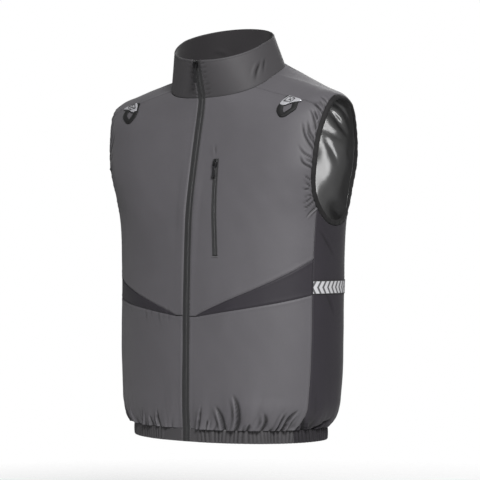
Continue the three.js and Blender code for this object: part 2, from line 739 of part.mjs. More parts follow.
// Yokes over the shoulders, between the front seam, the back seam, the armhole and the neck.
function yoke(side, flip) {
  const front = armholeAngle(YOKE_LEVEL, true);
  const back = armholeAngle(YOKE_LEVEL, false);
  const place = (trim) => (s, t) => {
    const armAngle = mix(front, back, s);
    const start = levelMoved(armAngle, armholeLevel(armAngle, true), halfSeam + trim);
    const frontEdge = yokeSeam(t, true);
    const backEdge = yokeSeam(t, false);
    const low = angleMoved(frontEdge.angle, frontEdge.level, halfSeam + trim);
    const high = angleMoved(backEdge.angle, backEdge.level, -halfSeam - trim);
    const angle = mix(low, high, s);
    const neck = levelMoved(angle, 3, -Math.max(halfSeam, trim * LINING_NECK_TRIM));
    return { angle, level: t === 1 ? neck : mix(start, 3, t) };
  };
  piece(`yoke_${side}`, panel(YOKE_COLUMNS, YOKE_ROWS, place(0), shellPoint, CLOTH, flip), MATERIALS.shell);
  const geometry = panel(6, YOKE_ROWS, place(LINING_TRIM), liningPoint, LINING, flip, UNDER_SHELL);
  piece(`lining_yoke_${side}`, geometry, MATERIALS.lining);
}

// Points round the armhole, where the edges of the panels beside it have their corners.
function armholeStops() {
  const stops = [];
  const low = [armholeAngle(FRONT_SEAM_TOP, true), armholeAngle(BACK_SEAM_TOP, false)];
  const high = [armholeAngle(YOKE_LEVEL, true), armholeAngle(YOKE_LEVEL, false)];
  for (let k = 0; k < BESIDE_ROWS; k += 1) {
    const level = mix(FRONT_SEAM_TOP, YOKE_LEVEL, k / BESIDE_ROWS);
    stops.push({ level, angle: armholeAngle(level, true) });
  }
  for (let k = 0; k < YOKE_COLUMNS; k += 1) {
    const angle = mix(high[0], high[1], k / YOKE_COLUMNS);
    stops.push({ level: k === 0 ? YOKE_LEVEL : armholeLevel(angle, true), angle });
  }
  for (let k = 0; k < BESIDE_ROWS; k += 1) {
    const level = mix(YOKE_LEVEL, BACK_SEAM_TOP, k / BESIDE_ROWS);
    stops.push({ level, angle: armholeAngle(level, false) });
  }
  for (let k = 0; k < SIDE_COLUMNS; k += 1) {
    const angle = mix(low[1], low[0], k / SIDE_COLUMNS);
    stops.push({ level: k === 0 ? BACK_SEAM_TOP : armholeLevel(angle, false), angle });
  }
  return stops;
}

// The binding runs round the armhole, inside the seam.
function armholeBinding(side, flip) {
  const stops = armholeStops();
  const points = stops.map(({ angle, level }) => smoothBody(angle, level));
  const stations = stops.map(({ angle, level }, i) => {
    const point = points[i].clone();
    const out = clothNormal(angle, level);
    const after = points[(i + 1) % points.length].clone().sub(point).normalize();
    const before = point.clone().sub(points[(i + points.length - 1) % points.length]).normalize();
    const across = new THREE.Vector3().crossVectors(after.add(before), out).normalize();
    if (flip) [point, out, across].forEach((vector) => vector.setX(-vector.x));
    return { point, across, out };
  });
  const low = 1 - BINDING_THICKNESS;
  const near = SEAM;
  const profile = [
    [near, low],
    [BINDING_WIDTH - 1, low],
    [BINDING_WIDTH, low + 1.2],
    [BINDING_WIDTH, 0],
    [BINDING_WIDTH - 1, 1],
    [near, 1],
  ];
  piece(`armhole_binding_${side}`, sweep(stations, profile, true), MATERIALS.binding);
}

// Collar sections, from the neck seam (0) to the upper edge (1).
function collarSection(t) {
  const neck = sectionAt(3);
  const rise = (start, height) => start + height * t;
  return {
    sideX: mix(neck.sideX, COLLAR_HALF_WIDTH, t),
    sideY: mix(neck.sideY, (COLLAR_BACK - COLLAR_FRONT) / 2, t),
    sideZ: rise(0, COLLAR_SIDE_HEIGHT),
    frontY: mix(neck.frontY, -COLLAR_FRONT, t),
    frontZ: rise(neck.frontZ, COLLAR_FRONT_HEIGHT),
    backY: mix(neck.backY, COLLAR_BACK, t),
    backZ: rise(neck.backZ, COLLAR_BACK_HEIGHT),
    square: mix(neck.square, 2.1, t),
    bend: 1,
  };
}

function collarSurface(angle, t) {
  const point = onSection(collarSection(t), angle);
  return point.setZ(point.z - (COLLAR_TILT * t * point.x) / COLLAR_HALF_WIDTH);
}

function collarPoint(angle, t, depth) {
  return collarSurface(angle, t).addScaledVector(normalOf(collarSurface, angle, t), -depth);
}

const COLLAR_START = halfSeam / COLLAR_SIDE_HEIGHT;

function collar() {
  const wallOf = (columns, rows, top, under, thickness) => {
    const at = (depth) => (s, t) => {
      const up = mix(COLLAR_START, top, t);
      const edge = sectionAngleAtX(ZIP_HALF_WIDTH + halfSeam, collarSection(up));
      return collarPoint(mix(edge, 2 * Math.PI - edge, s), up, depth);
    };
    return wall(columns, rows, at(under), at(under + thickness));
  };
  piece("collar", wallOf(32, 3, 1, 0, COLLAR_THICKNESS), MATERIALS.shell);
  piece("collar_facing", wallOf(32, 2, 0.97, COLLAR_THICKNESS + SEAM, LINING), MATERIALS.facing);
}

// The hem band: ribs run up it, except beside the zip.
function hemPoint(angle, t, out) {
  const section = { ...sectionAt(0) };
  const z = mix(-BODY_LENGTH, HEM_TOP - SEAM, t);
  section.sideZ = z;
  section.frontZ = z;
  section.backZ = z;
  const point = onSection(section, angle);
  const normal = normalOf(smoothBody, angle, 0).setZ(0).normalize();
  return point.addScaledVector(normal, out);
}

function hemBand(name, from, to, material, flip) {
  const arc = hemPoint(from, 0, 0).distanceTo(hemPoint((from + to) / 2, 0, 0)) * 2;
  const columns = 2 * Math.max(Math.round(arc / RIB_PITCH / 2) * 2, 2);
  const at = (inner) => (s, t) => {
    const share = flip ? 1 - s : s;
    const angle = mix(from, to, share);
    const rib = Math.round(share * columns) % 2 === 1 ? RIB_HEIGHT : 0;
    return hemPoint(flip ? -angle : angle, t, inner ? -HEM_THICKNESS : rib);
  };
  piece(name, wall(columns, 1, at(false), at(true)), material);
}

function hem() {
  const zipEdge = angleAtX(ZIP_HALF_WIDTH + halfSeam, 0);
  const frontSeam = angleAtY(frontSeamY(0), 0);
  const backSeam = angleAtY(backSeamY(0), 0);
  const gap = (angle, side) => angleMoved(angle, 0, side * halfSeam);
  for (const [side, flip] of [["left", false], ["right", true]]) {
    hemBand(`hem_front_${side}`, zipEdge, gap(frontSeam, -1), MATERIALS.shell, flip);
    hemBand(`hem_side_${side}`, gap(frontSeam, 1), gap(backSeam, -1), MATERIALS.panel, flip);
  }
  hemBand("hem_back", gap(backSeam, 1), 2 * Math.PI - gap(backSeam, 1), MATERIALS.shell, false);
}

// The middle of the front, from the hem's lower edge to the top of the collar.
function frontLine() {
  const points = [hemPoint(0, 0, 0), hemPoint(0, 1, 0)];
  for (let k = 1; k <= 12; k += 1) points.push(smoothBody(0, (3 * k) / 12));
  for (let k = 1; k <= 3; k += 1) points.push(collarSurface(0, k / 3));
  points.forEach((point) => point.setX(0));
  const across = new THREE.Vector3(1, 0, 0);
  return points.map((point, i) => {
    const before = points[i].clone().sub(points[Math.max(i - 1, 0)]).normalize();
    const after = points[Math.min(i + 1, points.length - 1)].clone().sub(point).normalize();
    const run = before.add(after).normalize();
    return { point, across, out: new THREE.Vector3(0, -run.z, run.y) };
  });
}

// A rectangle as a sweep's profile.
const bar = (left, right, low, high) => [
  [left, low],
  [right, low],
  [right, high],
  [left, high],
];

function frontZip() {
  const line = frontLine();
  const inner = CHAIN_HALF_WIDTH + halfSeam;
  const outer = ZIP_HALF_WIDTH - halfSeam;
  piece("front_zip_tape_left", sweep(line, bar(inner, outer, -TAPE_THICKNESS, 0)), MATERIALS.tape);
  piece("front_zip_tape_right", sweep(line, bar(-outer, -inner, -TAPE_THICKNESS, 0)), MATERIALS.tape);
  const half = CHAIN_HALF_WIDTH - halfSeam;
  const chain = bar(-half, half, -TAPE_THICKNESS, CHAIN_HEIGHT);
  piece("front_zip_chain", sweep(line, chain), MATERIALS.chain);
}

// A box between two corners.
function block(low, high) {
  const size = high.map((value, i) => value - low[i]);
  const centre = high.map((value, i) => (value + low[i]) / 2);
  return new THREE.BoxGeometry(...size).translate(...centre);
}

// A slider lies in its own frame: x across the zip, y up it and z out of the cloth.
// Its plate starts at z = 0 and the pull's pin is at y = 0.
function sliderShape() {
  const top = SLIDER_THICKNESS;
  const half = BRIDGE_WIDTH / 2;
  const end = BRIDGE_LENGTH / 2;
  const plate = new THREE.Shape();
  plate.moveTo(-SLIDER_WIDTH / 2, SLIDER_LENGTH / 2);
  plate.lineTo(-SLIDER_WIDTH / 2, 0);
  plate.lineTo(-SLIDER_WIDTH / 3, -SLIDER_LENGTH / 2);
  plate.lineTo(SLIDER_WIDTH / 3, -SLIDER_LENGTH / 2);
  plate.lineTo(SLIDER_WIDTH / 2, 0);
  plate.lineTo(SLIDER_WIDTH / 2, SLIDER_LENGTH / 2);
  plate.closePath();
  const depth = { depth: top, bevelEnabled: false };
  return joined(
    new THREE.ExtrudeGeometry(plate, depth),
    block([-half, end - BRIDGE_WALL, top - 0.2], [half, end, top + BRIDGE_HEIGHT]),
    block([-half, -end, top - 0.2], [half, -end + BRIDGE_WALL, top + BRIDGE_HEIGHT]),
    block([-half, -end, top + BRIDGE_HEIGHT - BRIDGE_WALL], [half, end, top + BRIDGE_HEIGHT]),
  );
}

// A pull hangs from its pin at the origin down the zip: a loop round the slider's bridge, a
// narrow neck and a wider end.
function pullShape(length, neckAt) {
  const inner = BRIDGE_WIDTH / 2 + PULL_CLEARANCE;
  const outer = inner + PULL_ARM;
  const slot = Math.hypot(BRIDGE_LENGTH / 2, BRIDGE_HEIGHT) + PULL_CLEARANCE;
  const neck = PULL_WIDTH / 4;
  const outline = [
    [-outer, PULL_PIN_RADIUS],
    [-outer, -slot],
    [-neck, -neckAt],
    [-PULL_WIDTH / 2, -length + PULL_WIDTH],
    [-PULL_WIDTH / 2, -length + 1],
    [-PULL_WIDTH / 2 + 1, -length],
    [PULL_WIDTH / 2 - 1, -length],
    [PULL_WIDTH / 2, -length + 1],
    [PULL_WIDTH / 2, -length + PULL_WIDTH],
    [neck, -neckAt],
    [outer, -slot],
    [outer, PULL_PIN_RADIUS],
    [inner, PULL_PIN_RADIUS],
    [inner, -slot],
    [-inner, -slot],
    [-inner, PULL_PIN_RADIUS],
  ];
  const shape = new THREE.Shape(outline.map(([x, y]) => new THREE.Vector2(x, y)));
  const plate = new THREE.ExtrudeGeometry(shape, { depth: PULL_THICKNESS, bevelEnabled: false });
  plate.translate(0, 0, -PULL_THICKNESS / 2);
  const pin = new THREE.CylinderGeometry(PULL_PIN_RADIUS, PULL_PIN_RADIUS, 2 * inner + 1, 12);
  pin.rotateZ(RIGHT_ANGLE);
  return joined(plate, pin);
}

// Moves a shape from its own frame to a place on the vest.
function placed(geometry, origin, across, up) {
  const out = new THREE.Vector3().crossVectors(across, up).normalize();
  const side = new THREE.Vector3().crossVectors(up, out).normalize();
  const matrix = new THREE.Matrix4().makeBasis(side, up.clone().normalize(), out);
  matrix.setPosition(origin);
  return geometry.applyMatrix4(matrix);
}

const PIN_ABOVE_PLATE = PULL_PIN_RADIUS + PULL_CLEARANCE;

// A slider on the zip at a point, and its pull, which hangs from the pin in its own direction.
function sliderAndPull(name, origin, across, up, pullUp, length, neckAt) {
  piece(`${name}_slider`, placed(sliderShape(), origin, across, up), MATERIALS.slider);
  const out = new THREE.Vector3().crossVectors(across, up).normalize();
  const pin = origin.clone().addScaledVector(out, SLIDER_THICKNESS + PIN_ABOVE_PLATE);
  piece(`${name}_pull`, placed(pullShape(length, neckAt), pin, across, pullUp), MATERIALS.pull);
}

// The front slider sits at the top of the collar, and its pull hangs straight down.
function frontSlider() {
  const low = collarSurface(0, 0.5).setX(0);
  const high = collarSurface(0, 1).setX(0);
  const up = high.clone().sub(low).normalize();
  const across = new THREE.Vector3(1, 0, 0);
  const out = new THREE.Vector3().crossVectors(across, up);
  const origin = high.clone().addScaledVector(up, -SLIDER_LENGTH / 2 - 1);
  origin.addScaledVector(out, CHAIN_HEIGHT + SEAM);
  const plumb = new THREE.Vector3(0, 0, 1);
  sliderAndPull("front_zip", origin, across, up, plumb, FRONT_PULL_LENGTH, FRONT_PULL_LENGTH * 0.62);
}

// The chest pocket's zip lies on the front's cloth.
const POCKET_LOW = -POCKET_TOP_DROP - POCKET_LENGTH;

function pocketPlace(across, z) {
  const share = (z - POCKET_LOW) / POCKET_LENGTH;
  const x = POCKET_X + across + POCKET_LEAN * (1 - share);
  const level = levelAtHeight(x, z);
  return { level, angle: angleAtX(x, level) };
}

function pocketZip() {
  const strip = (half, low, high) => (s, t) => pocketPlace(mix(-half, half, s), mix(low, high, t));
  const tape = strip(POCKET_HALF_WIDTH, POCKET_LOW, -POCKET_TOP_DROP);
  const under = -SEAM - TAPE_THICKNESS;
  piece("pocket_zip_tape", panel(2, 10, tape, shellPoint, TAPE_THICKNESS, false, under), MATERIALS.tape);
  const chain = strip(CHAIN_HALF_WIDTH / 2, POCKET_LOW + 1, -POCKET_TOP_DROP - 1);
  const over = under - SEAM - TAPE_THICKNESS;
  piece("pocket_zip_chain", panel(1, 10, chain, shellPoint, TAPE_THICKNESS, false, over), MATERIALS.chain);
  const tackTop = POCKET_LOW - SEAM;
  const tack = strip(POCKET_HALF_WIDTH + 1, tackTop - BARTACK_HEIGHT, tackTop);
  piece("pocket_bar_tack", panel(2, 1, tack, shellPoint, 1, false, -SEAM - 1), MATERIALS.shell);

  const z = -POCKET_TOP_DROP - SLIDER_LENGTH / 2 - 2;
  const here = pocketPlace(0, z);
  const above = pocketPlace(0, z + BRIDGE_LENGTH);
  const below = pocketPlace(0, z - 3 * BRIDGE_LENGTH);
  const up = smoothBody(above.angle, above.level).sub(smoothBody(below.angle, below.level)).normalize();
  const out = normalOf(smoothBody, here.angle, here.level);
  const across = new THREE.Vector3().crossVectors(up, out).normalize();
  const lift = -over + SEAM;
  const origin = smoothBody(here.angle, here.level).addScaledVector(out, lift);
  sliderAndPull("pocket_zip", origin, across, up, up, POCKET_PULL_LENGTH, POCKET_PULL_LENGTH * 0.5);
}

// A point above the cloth beside the yoke seam, where a shoulder loop is sewn in.
function besideYoke(away, down, height, flip) {
  const start = yokeSeam((2 + LOOP_LEVEL - YOKE_LEVEL) / (3 - YOKE_LEVEL), true).angle;
  const level = levelMoved(start, 2 + LOOP_LEVEL, -away);
  const point = shellPoint(angleMoved(start, level, -down), level, -height);
  return flip ? point.setX(-point.x) : point;
}

// A band that lies on the cloth along a closed outline.
function shoulderLoop(side, flip) {
  const corners = LOOP_OUTLINE.map(({ away, down }) => {
    return new THREE.Vector2(away, down).multiplyScalar(LOOP_SIZE);
  });
  const count = 2 * corners.length;
  const outline = [];
  corners.forEach((corner, i) => {
    outline.push(corner, corner.clone().lerp(corners[(i + 1) % corners.length], 0.5));
  });
  const at = (height) => (s, t) => {
    const i = Math.round(s * count) % count;
    const run = outline[(i + 1) % count].clone().sub(outline[(i + count - 1) % count]).normalize();
    const point = outline[i].clone().add(new THREE.Vector2(run.y, -run.x).multiplyScalar(LOOP_BAND * t));
    return besideYoke(point.x, point.y, height, flip);
  };
  const low = 2 * SEAM;
  const geometry = wall(count, 1, at(low + LOOP_THICKNESS), at(low), true);
  piece(`shoulder_loop_${side}`, geometry, MATERIALS.loop);
}

function shoulderTab(side, flip) {
  const last = TAB_ROWS.length - 1;
  const at = (height) => (s, t) => {
    const row = TAB_ROWS[Math.round(t * last)];
    return besideYoke(mix(row.from, row.to, s) * LOOP_SIZE, row.down * LOOP_SIZE, height, flip);
  };
  const low = 3 * SEAM + LOOP_THICKNESS;
  const geometry = wall(3, last, at(low + TAB_THICKNESS), at(low));
  piece(`shoulder_tab_${side}`, geometry, MATERIALS.tab);
}

for (const [side, flip] of [["left", false], ["right", true]]) {
  frontPanels(side, flip);
  sidePanel(side, flip);
  yoke(side, flip);
  armholeBinding(side, flip);
  shoulderLoop(side, flip);
  shoulderTab(side, flip);
}
backPanel();
collar();
hem();
frontZip();
frontSlider();
pocketZip();

export default vest;
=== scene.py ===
# %% [markdown]
# # A sleeveless work vest in its worn form
#
# The vest is thin woven cloth over a dark, glossy lining. It has a stand collar, a zip up the
# front, a zipped chest pocket, dark wedges and side panels, bound armholes and a ribbed elastic
# hem. The CAD frame already holds every piece in its place. This lesson gives each soft piece its
# folds, seams, stitches and finish, and gives each hard piece its edges.
# The frame comes first, because everything else is placed by it.

# %% Load the fixed frame
import math

import bmesh
import bpy
import numpy as np
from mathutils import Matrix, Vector


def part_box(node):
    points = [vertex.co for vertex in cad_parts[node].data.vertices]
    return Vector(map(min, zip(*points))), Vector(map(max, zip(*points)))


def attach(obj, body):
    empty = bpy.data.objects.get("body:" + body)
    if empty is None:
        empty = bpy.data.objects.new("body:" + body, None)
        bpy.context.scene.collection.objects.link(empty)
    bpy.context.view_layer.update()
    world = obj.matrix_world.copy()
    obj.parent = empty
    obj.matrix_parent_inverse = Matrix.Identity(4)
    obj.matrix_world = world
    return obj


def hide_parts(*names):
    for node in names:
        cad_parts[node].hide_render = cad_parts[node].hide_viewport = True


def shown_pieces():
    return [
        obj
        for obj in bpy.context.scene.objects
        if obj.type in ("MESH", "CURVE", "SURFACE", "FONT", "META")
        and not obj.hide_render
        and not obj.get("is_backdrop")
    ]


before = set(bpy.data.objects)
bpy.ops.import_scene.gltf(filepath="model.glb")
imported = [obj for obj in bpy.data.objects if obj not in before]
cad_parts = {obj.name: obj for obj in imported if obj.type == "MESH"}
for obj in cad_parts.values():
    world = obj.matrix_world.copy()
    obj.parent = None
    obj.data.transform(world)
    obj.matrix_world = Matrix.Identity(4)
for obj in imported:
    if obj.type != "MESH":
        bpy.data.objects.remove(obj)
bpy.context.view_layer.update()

# %% [markdown]
# ## The worn form
#
# A vest in its worn form is a stack of rounded sections, from the hem band to the neck. Each
# section has a half width, a front and a back, and a number that makes it rounder or squarer. The
# pattern pieces are then parts of one smooth skin, found by an angle round the form and a level up
# it, so that neighbouring pieces share their seams exactly. The measures are in millimetres, as on
# a cutting pattern, and they become metres only when a mesh is made.

# %% Measures of the vest
METRES = 0.001
BODY_LENGTH = 644
HEM_HEIGHT = 23
HEM_TOP = HEM_HEIGHT - BODY_LENGTH
ARMPIT = -269
CHEST_HALF_WIDTH = 217
CHEST_FRONT = 139
CHEST_BACK = 128
SHOULDER_HALF_WIDTH = 239
SHOULDER_DROP = 55
NECK_HALF_WIDTH = 103
NECK_FRONT = 92
NECK_BACK = 67
NECK_FRONT_DROP = 43
NECK_BACK_RISE = 34
CLOTH = 1.2
LINING = 1.0
UNDER_SHELL = CLOTH + 2.4
ZIP_EDGE = 7.1
GATHER_HEIGHT = 7
RIGHT_ANGLE = math.pi / 2
LEFT_AND_RIGHT = (("left", False), ("right", True))

# up, width, front, back, square
TORSO = [
    (0.0, 0.86, 1.0, 0.84, 2.1),
    (0.045, 0.93, 1.01, 0.88, 2.2),
    (0.1, 0.97, 1.02, 0.875, 2.3),
    (0.17, 0.985, 1.02, 0.9, 2.3),
    (0.34, 1.0, 1.015, 0.94, 2.3),
    (0.68, 1.0, 1.0, 1.0, 2.3),
    (1.0, 1.005, 0.965, 1.0, 2.45),
]
# up, out, front, front fall, back, back fall, square, shift
SHOULDER_SIDE = [
    (0.28, 0.4, 0.925, 0.79, 0.99, 0.82, 2.75, 0.2),
    (0.56, 0.86, 0.87, 0.61, 0.965, 0.64, 3.05, 0.5),
    (0.8, 1.03, 0.81, 0.43, 0.9, 0.47, 3.0, 0.8),
    (1.0, 1.0, 0.755, 0.28, 0.81, 0.32, 2.8, 1.0),
]
# along, out, fall, front, front fall, back, back fall, square, bend
SHOULDER_TOP = [
    (0.12, 0.93, 0.74, 0.8, 0.82, 0.8, 0.8, 2.65, 1.9),
    (0.4, 0.68, 0.49, 0.5, 0.56, 0.5, 0.52, 2.5, 1.6),
    (0.7, 0.35, 0.23, 0.22, 0.28, 0.22, 0.24, 2.5, 1.25),
    (1.0, 0.0, 0.0, 0.0, 0.0, 0.0, 0.0, 2.55, 1.0),
]


def mix(a, b, t):
    return a + (b - a) * t


def body_sections():
    rows = []
    for up, width, front, back, square in TORSO:
        z = mix(HEM_TOP, ARMPIT, up)
        rows.append((
            up, width * CHEST_HALF_WIDTH, 0, z, -front * CHEST_FRONT, z, back * CHEST_BACK, z, square, 2,
        ))
    armpit_front = TORSO[-1][2] * CHEST_FRONT
    shift_y = (NECK_BACK - NECK_FRONT) / 2
    for up, out, front, front_fall, back, back_fall, square, shift in SHOULDER_SIDE:
        rows.append((
            1 + up, mix(CHEST_HALF_WIDTH, SHOULDER_HALF_WIDTH, out), shift * shift_y,
            mix(ARMPIT, -SHOULDER_DROP, up), -min(front * CHEST_FRONT, armpit_front),
            mix(-NECK_FRONT_DROP, ARMPIT, front_fall), back * CHEST_BACK,
            mix(NECK_BACK_RISE, ARMPIT, back_fall), square, 2,
        ))
    tip = rows[-1]
    for along, out, fall, front, front_fall, back, back_fall, square, bend in SHOULDER_TOP:
        rows.append((
            2 + along, mix(NECK_HALF_WIDTH, SHOULDER_HALF_WIDTH, out), shift_y, -fall * SHOULDER_DROP,
            mix(-NECK_FRONT, tip[4], front), mix(-NECK_FRONT_DROP, tip[5], front_fall),
            mix(NECK_BACK, tip[6], back), mix(NECK_BACK_RISE, tip[7], back_fall), square, bend,
        ))
    return np.array(rows, float).T


SECTIONS = body_sections()
LEVELS = SECTIONS[0]
STEPS = np.diff(SECTIONS[1:], axis=1) / np.diff(LEVELS)
SLOPES = np.concatenate([STEPS[:, :1], (STEPS[:, 1:] + STEPS[:, :-1]) / 2, STEPS[:, -1:]], axis=1)


def section_at(level):
    """All nine measures of the section at a level, on smooth curves through the table's rows."""
    level = np.asarray(level, float)
    i = np.clip(np.searchsorted(LEVELS, level), 1, len(LEVELS) - 1)
    span = LEVELS[i] - LEVELS[i - 1]
    t = np.clip((level - LEVELS[i - 1]) / span, 0, 1)
    s = 1 - t
    values = SECTIONS[1:]
    start = (1 + 2 * t) * s * s * values[:, i - 1] + t * s * s * span * SLOPES[:, i - 1]
    return start + t * t * (3 - 2 * t) * values[:, i] - t * t * s * span * SLOPES[:, i]


def on_section(section, angle):
    """Points on sections, by the angle from the centre front; 90 degrees is the left side as worn."""
    side_x, side_y, side_z, front_y, front_z, back_y, back_z, square, bend = section
    sine = np.sin(angle)
    cosine = np.cos(angle)
    reach = (np.abs(sine) ** square + np.abs(cosine) ** square) ** (-1 / square)
    share = reach * np.abs(cosine)
    end_y = np.where(cosine >= 0, front_y, back_y)
    end_z = np.where(cosine >= 0, front_z, back_z)
    x = side_x * reach * sine
    return np.stack([x, side_y + (end_y - side_y) * share, side_z + (end_z - side_z) * share**bend], -1)


def smooth_body(angle, level):
    return on_section(section_at(level), angle)


def unit(vectors):
    return vectors / np.maximum(np.linalg.norm(vectors, axis=-1, keepdims=True), 1e-12)


def normal_of(surface, a, b, step=0.004):
    over_a = surface(a + step, b) - surface(a - step, b)
    over_b = surface(a, b + step) - surface(a, b - step)
    return unit(np.cross(over_a, over_b))


def cloth_normal(angle, level):
    """Outward direction of the cloth; it is level along the hem seam."""
    normal = normal_of(smooth_body, angle, level)
    normal[..., 2] *= np.minimum(level / 0.05, 1)
    return unit(normal)


print("sections", len(LEVELS), "front at the chest", smooth_body(np.array(0.0), np.array(1.0)).round(1))

# %% [markdown]
# ## Where the seams run
#
# Each seam is a line on that skin: the side seams keep their distance from the side of the form,
# the armhole is an oval, and the yoke seam curves from the armhole to the neck. A level is turned
# into an angle by closed formulas where they exist, and by halving a range where they don't.

# %% Seam lines
ARMHOLE_LOW, ARMHOLE_HIGH, ARMHOLE_POWER = 1.005, 2.1, 2.3
ARMHOLE_LEAN = math.radians(6)
ARMHOLE_FRONT, ARMHOLE_BACK = math.radians(32.5), math.radians(35)
ARMHOLE_MIDDLE = (ARMHOLE_LOW + ARMHOLE_HIGH) / 2
ARMHOLE_HALF = (ARMHOLE_HIGH - ARMHOLE_LOW) / 2
YOKE_LEVEL = mix(ARMHOLE_LOW, ARMHOLE_HIGH, 0.822)
NECK_ANGLE = math.radians(56)
TIP_SHARE = 1 / 12
# tip from the centre, and drops of the tip, the upper corner and the lower corner
WEDGES = {"left": (20, 426, 329, 388), "right": (24, 425, 345, 393)}


def angle_at_x(x, level):
    side_x, square = section_at(level)[[0, 7]]
    q = np.abs(x / side_x) ** square
    return np.sign(x) * np.arctan((q / (1 - q)) ** (1 / square))


def angle_at_y(y, level):
    section = section_at(level)
    side_y, square = section[1], section[7]
    depth = np.where(y < side_y, section[3], section[5]) - side_y
    q = np.abs((y - side_y) / depth) ** -square
    off = np.arctan((1 / (q - 1)) ** (1 / square))
    return RIGHT_ANGLE + np.where(y < side_y, -off, off)


def torso_level(z):
    return (z - HEM_TOP) / (ARMPIT - HEM_TOP)


def level_at_height(x, z):
    low = np.zeros(np.broadcast(x, z).shape)
    high = low + 3
    for _ in range(16):
        middle = (low + high) / 2
        under = smooth_body(angle_at_x(x, middle), middle)[..., 2] < z
        low = np.where(under, middle, low)
        high = np.where(under, high, middle)
    return (low + high) / 2


def angle_moved(angle, level, distance, step=0.01):
    reach = np.linalg.norm(smooth_body(angle + step, level) - smooth_body(angle - step, level), axis=-1)
    return angle + distance * 2 * step / reach


def level_moved(angle, level, distance, step=0.01):
    reach = np.linalg.norm(smooth_body(angle, level + step) - smooth_body(angle, level - step), axis=-1)
    return level + distance * 2 * step / reach


def armhole_angle(level, front):
    share = np.abs((level - ARMHOLE_MIDDLE) / ARMHOLE_HALF)
    reach = np.maximum(1 - share**ARMHOLE_POWER, 0) ** (1 / ARMHOLE_POWER)
    wide = -ARMHOLE_FRONT if front else ARMHOLE_BACK
    return RIGHT_ANGLE + wide * reach + ARMHOLE_LEAN * reach * (ARMHOLE_MIDDLE - level)


def armhole_level(angle, upper):
    angle = np.asarray(angle, float)
    near = np.full(angle.shape, ARMHOLE_MIDDLE)
    far = np.full(angle.shape, ARMHOLE_HIGH if upper else ARMHOLE_LOW)
    for _ in range(24):
        level = (near + far) / 2
        front = armhole_angle(level, True) < angle
        back = armhole_angle(level, False) > angle
        inside = np.where(angle < RIGHT_ANGLE, front, back)
        near = np.where(inside, level, near)
        far = np.where(inside, far, level)
    return (near + far) / 2


def side_seam(level, front):
    """Angle of the side seam in front of or behind the side panel."""
    spread_out = 9 * np.maximum(1 - level, 0)
    return angle_at_y(-50 - spread_out if front else 62 + spread_out, level)


def seam_top(front):
    low, high = ARMHOLE_LOW, ARMHOLE_MIDDLE
    for _ in range(20):
        middle = (low + high) / 2
        gap = armhole_angle(middle, front) - side_seam(middle, front)
        past = gap < 0 if front else gap > 0
        low, high = (low, middle) if past else (middle, high)
    return (low + high) / 2


FRONT_SEAM_TOP = seam_top(True)
BACK_SEAM_TOP = seam_top(False)


def yoke_seam(share, front):
    arm = armhole_angle(YOKE_LEVEL, front)
    neck = NECK_ANGLE if front else math.pi - NECK_ANGLE
    return mix(arm, neck, 1 - (1 - share) ** 3)


def outer_edge(level, front):
    """Outer edge of the front or the back: side seam, then armhole, then yoke seam."""
    top = FRONT_SEAM_TOP if front else BACK_SEAM_TOP
    share = np.clip((level - YOKE_LEVEL) / (3 - YOKE_LEVEL), 0, 1)
    above = np.where(level < YOKE_LEVEL, armhole_angle(level, front), yoke_seam(share, front))
    return np.where(level < top, side_seam(np.minimum(level, top), front), above)


def front_angle(s, level, side):
    start = angle_at_x(ZIP_EDGE, level)
    tip = angle_at_x(WEDGES[side][0], level)
    end = outer_edge(level, True)
    inner = mix(start, tip, s / TIP_SHARE)
    outer = mix(tip, end, (s - TIP_SHARE) / (1 - TIP_SHARE))
    return np.where(s < TIP_SHARE, inner, outer)


def wedge_level(s, side, upper):
    _, tip_drop, upper_drop, lower_drop = WEDGES[side]
    share = np.maximum((s - TIP_SHARE) / (1 - TIP_SHARE), 0)
    tip = -tip_drop + (0.8 if upper else -0.8)
    return torso_level(mix(tip, -(upper_drop if upper else lower_drop), share ** (0.93 if upper else 1)))


print("side seams end at levels", round(float(FRONT_SEAM_TOP), 3), round(float(BACK_SEAM_TOP), 3))

# %% [markdown]
# ## Folds
#
# Thin cloth folds where something holds it short: the elastic of the hem gathers it, the binding
# puckers the front of the armhole, and the wedge's seam crimps it. A cloth simulation would find
# its own folds, in other places than the real ones. Here each larger fold is a line on the skin,
# from its free end to the seam that holds it, with a ridge beside a narrow valley. Finer gathers
# come from waves that die away with the distance from the seam.

# %% Fold shapes
# where, width, height up the body, share of the largest
FRONT_GATHERS = [
    (-0.66, 0.12, 0.08, 0.45), (-0.42, 0.11, 0.07, 0.55), (-0.22, 0.1, 0.06, 0.4),
    (0.16, 0.09, 0.12, 0.8), (0.29, 0.09, 0.07, 0.5), (0.41, 0.09, 0.13, 0.9),
    (0.56, 0.11, 0.16, 1.0), (0.72, 0.1, 0.1, 0.8),
]
BACK_GATHERS = 9


def bump(off, wide, rise, tall):
    return np.maximum(1 - (off / wide) ** 2, 0) ** 2 * np.maximum(1 - rise / tall, 0) ** 2


def gathers(points, angle):
    """The larger folds above the hem, as in the CAD."""
    rise = (points[..., 2] - HEM_TOP) / BODY_LENGTH
    at = points[..., 0] / CHEST_HALF_WIDTH
    front = sum(high * bump(at - where, wide, rise, tall) for where, wide, tall, high in FRONT_GATHERS)
    wave = 0.5 - 0.5 * np.cos(2 * BACK_GATHERS * (angle - RIGHT_ANGLE))
    back = 0.6 * wave * bump(0, 1, rise, 0.09)
    return GATHER_HEIGHT * np.where(np.cos(angle) > 0, front, back)


def pleat(turn):
    """A wave from 0 to 1 with broad crests and narrow valleys."""
    return np.abs(np.sin(turn)) ** 0.8


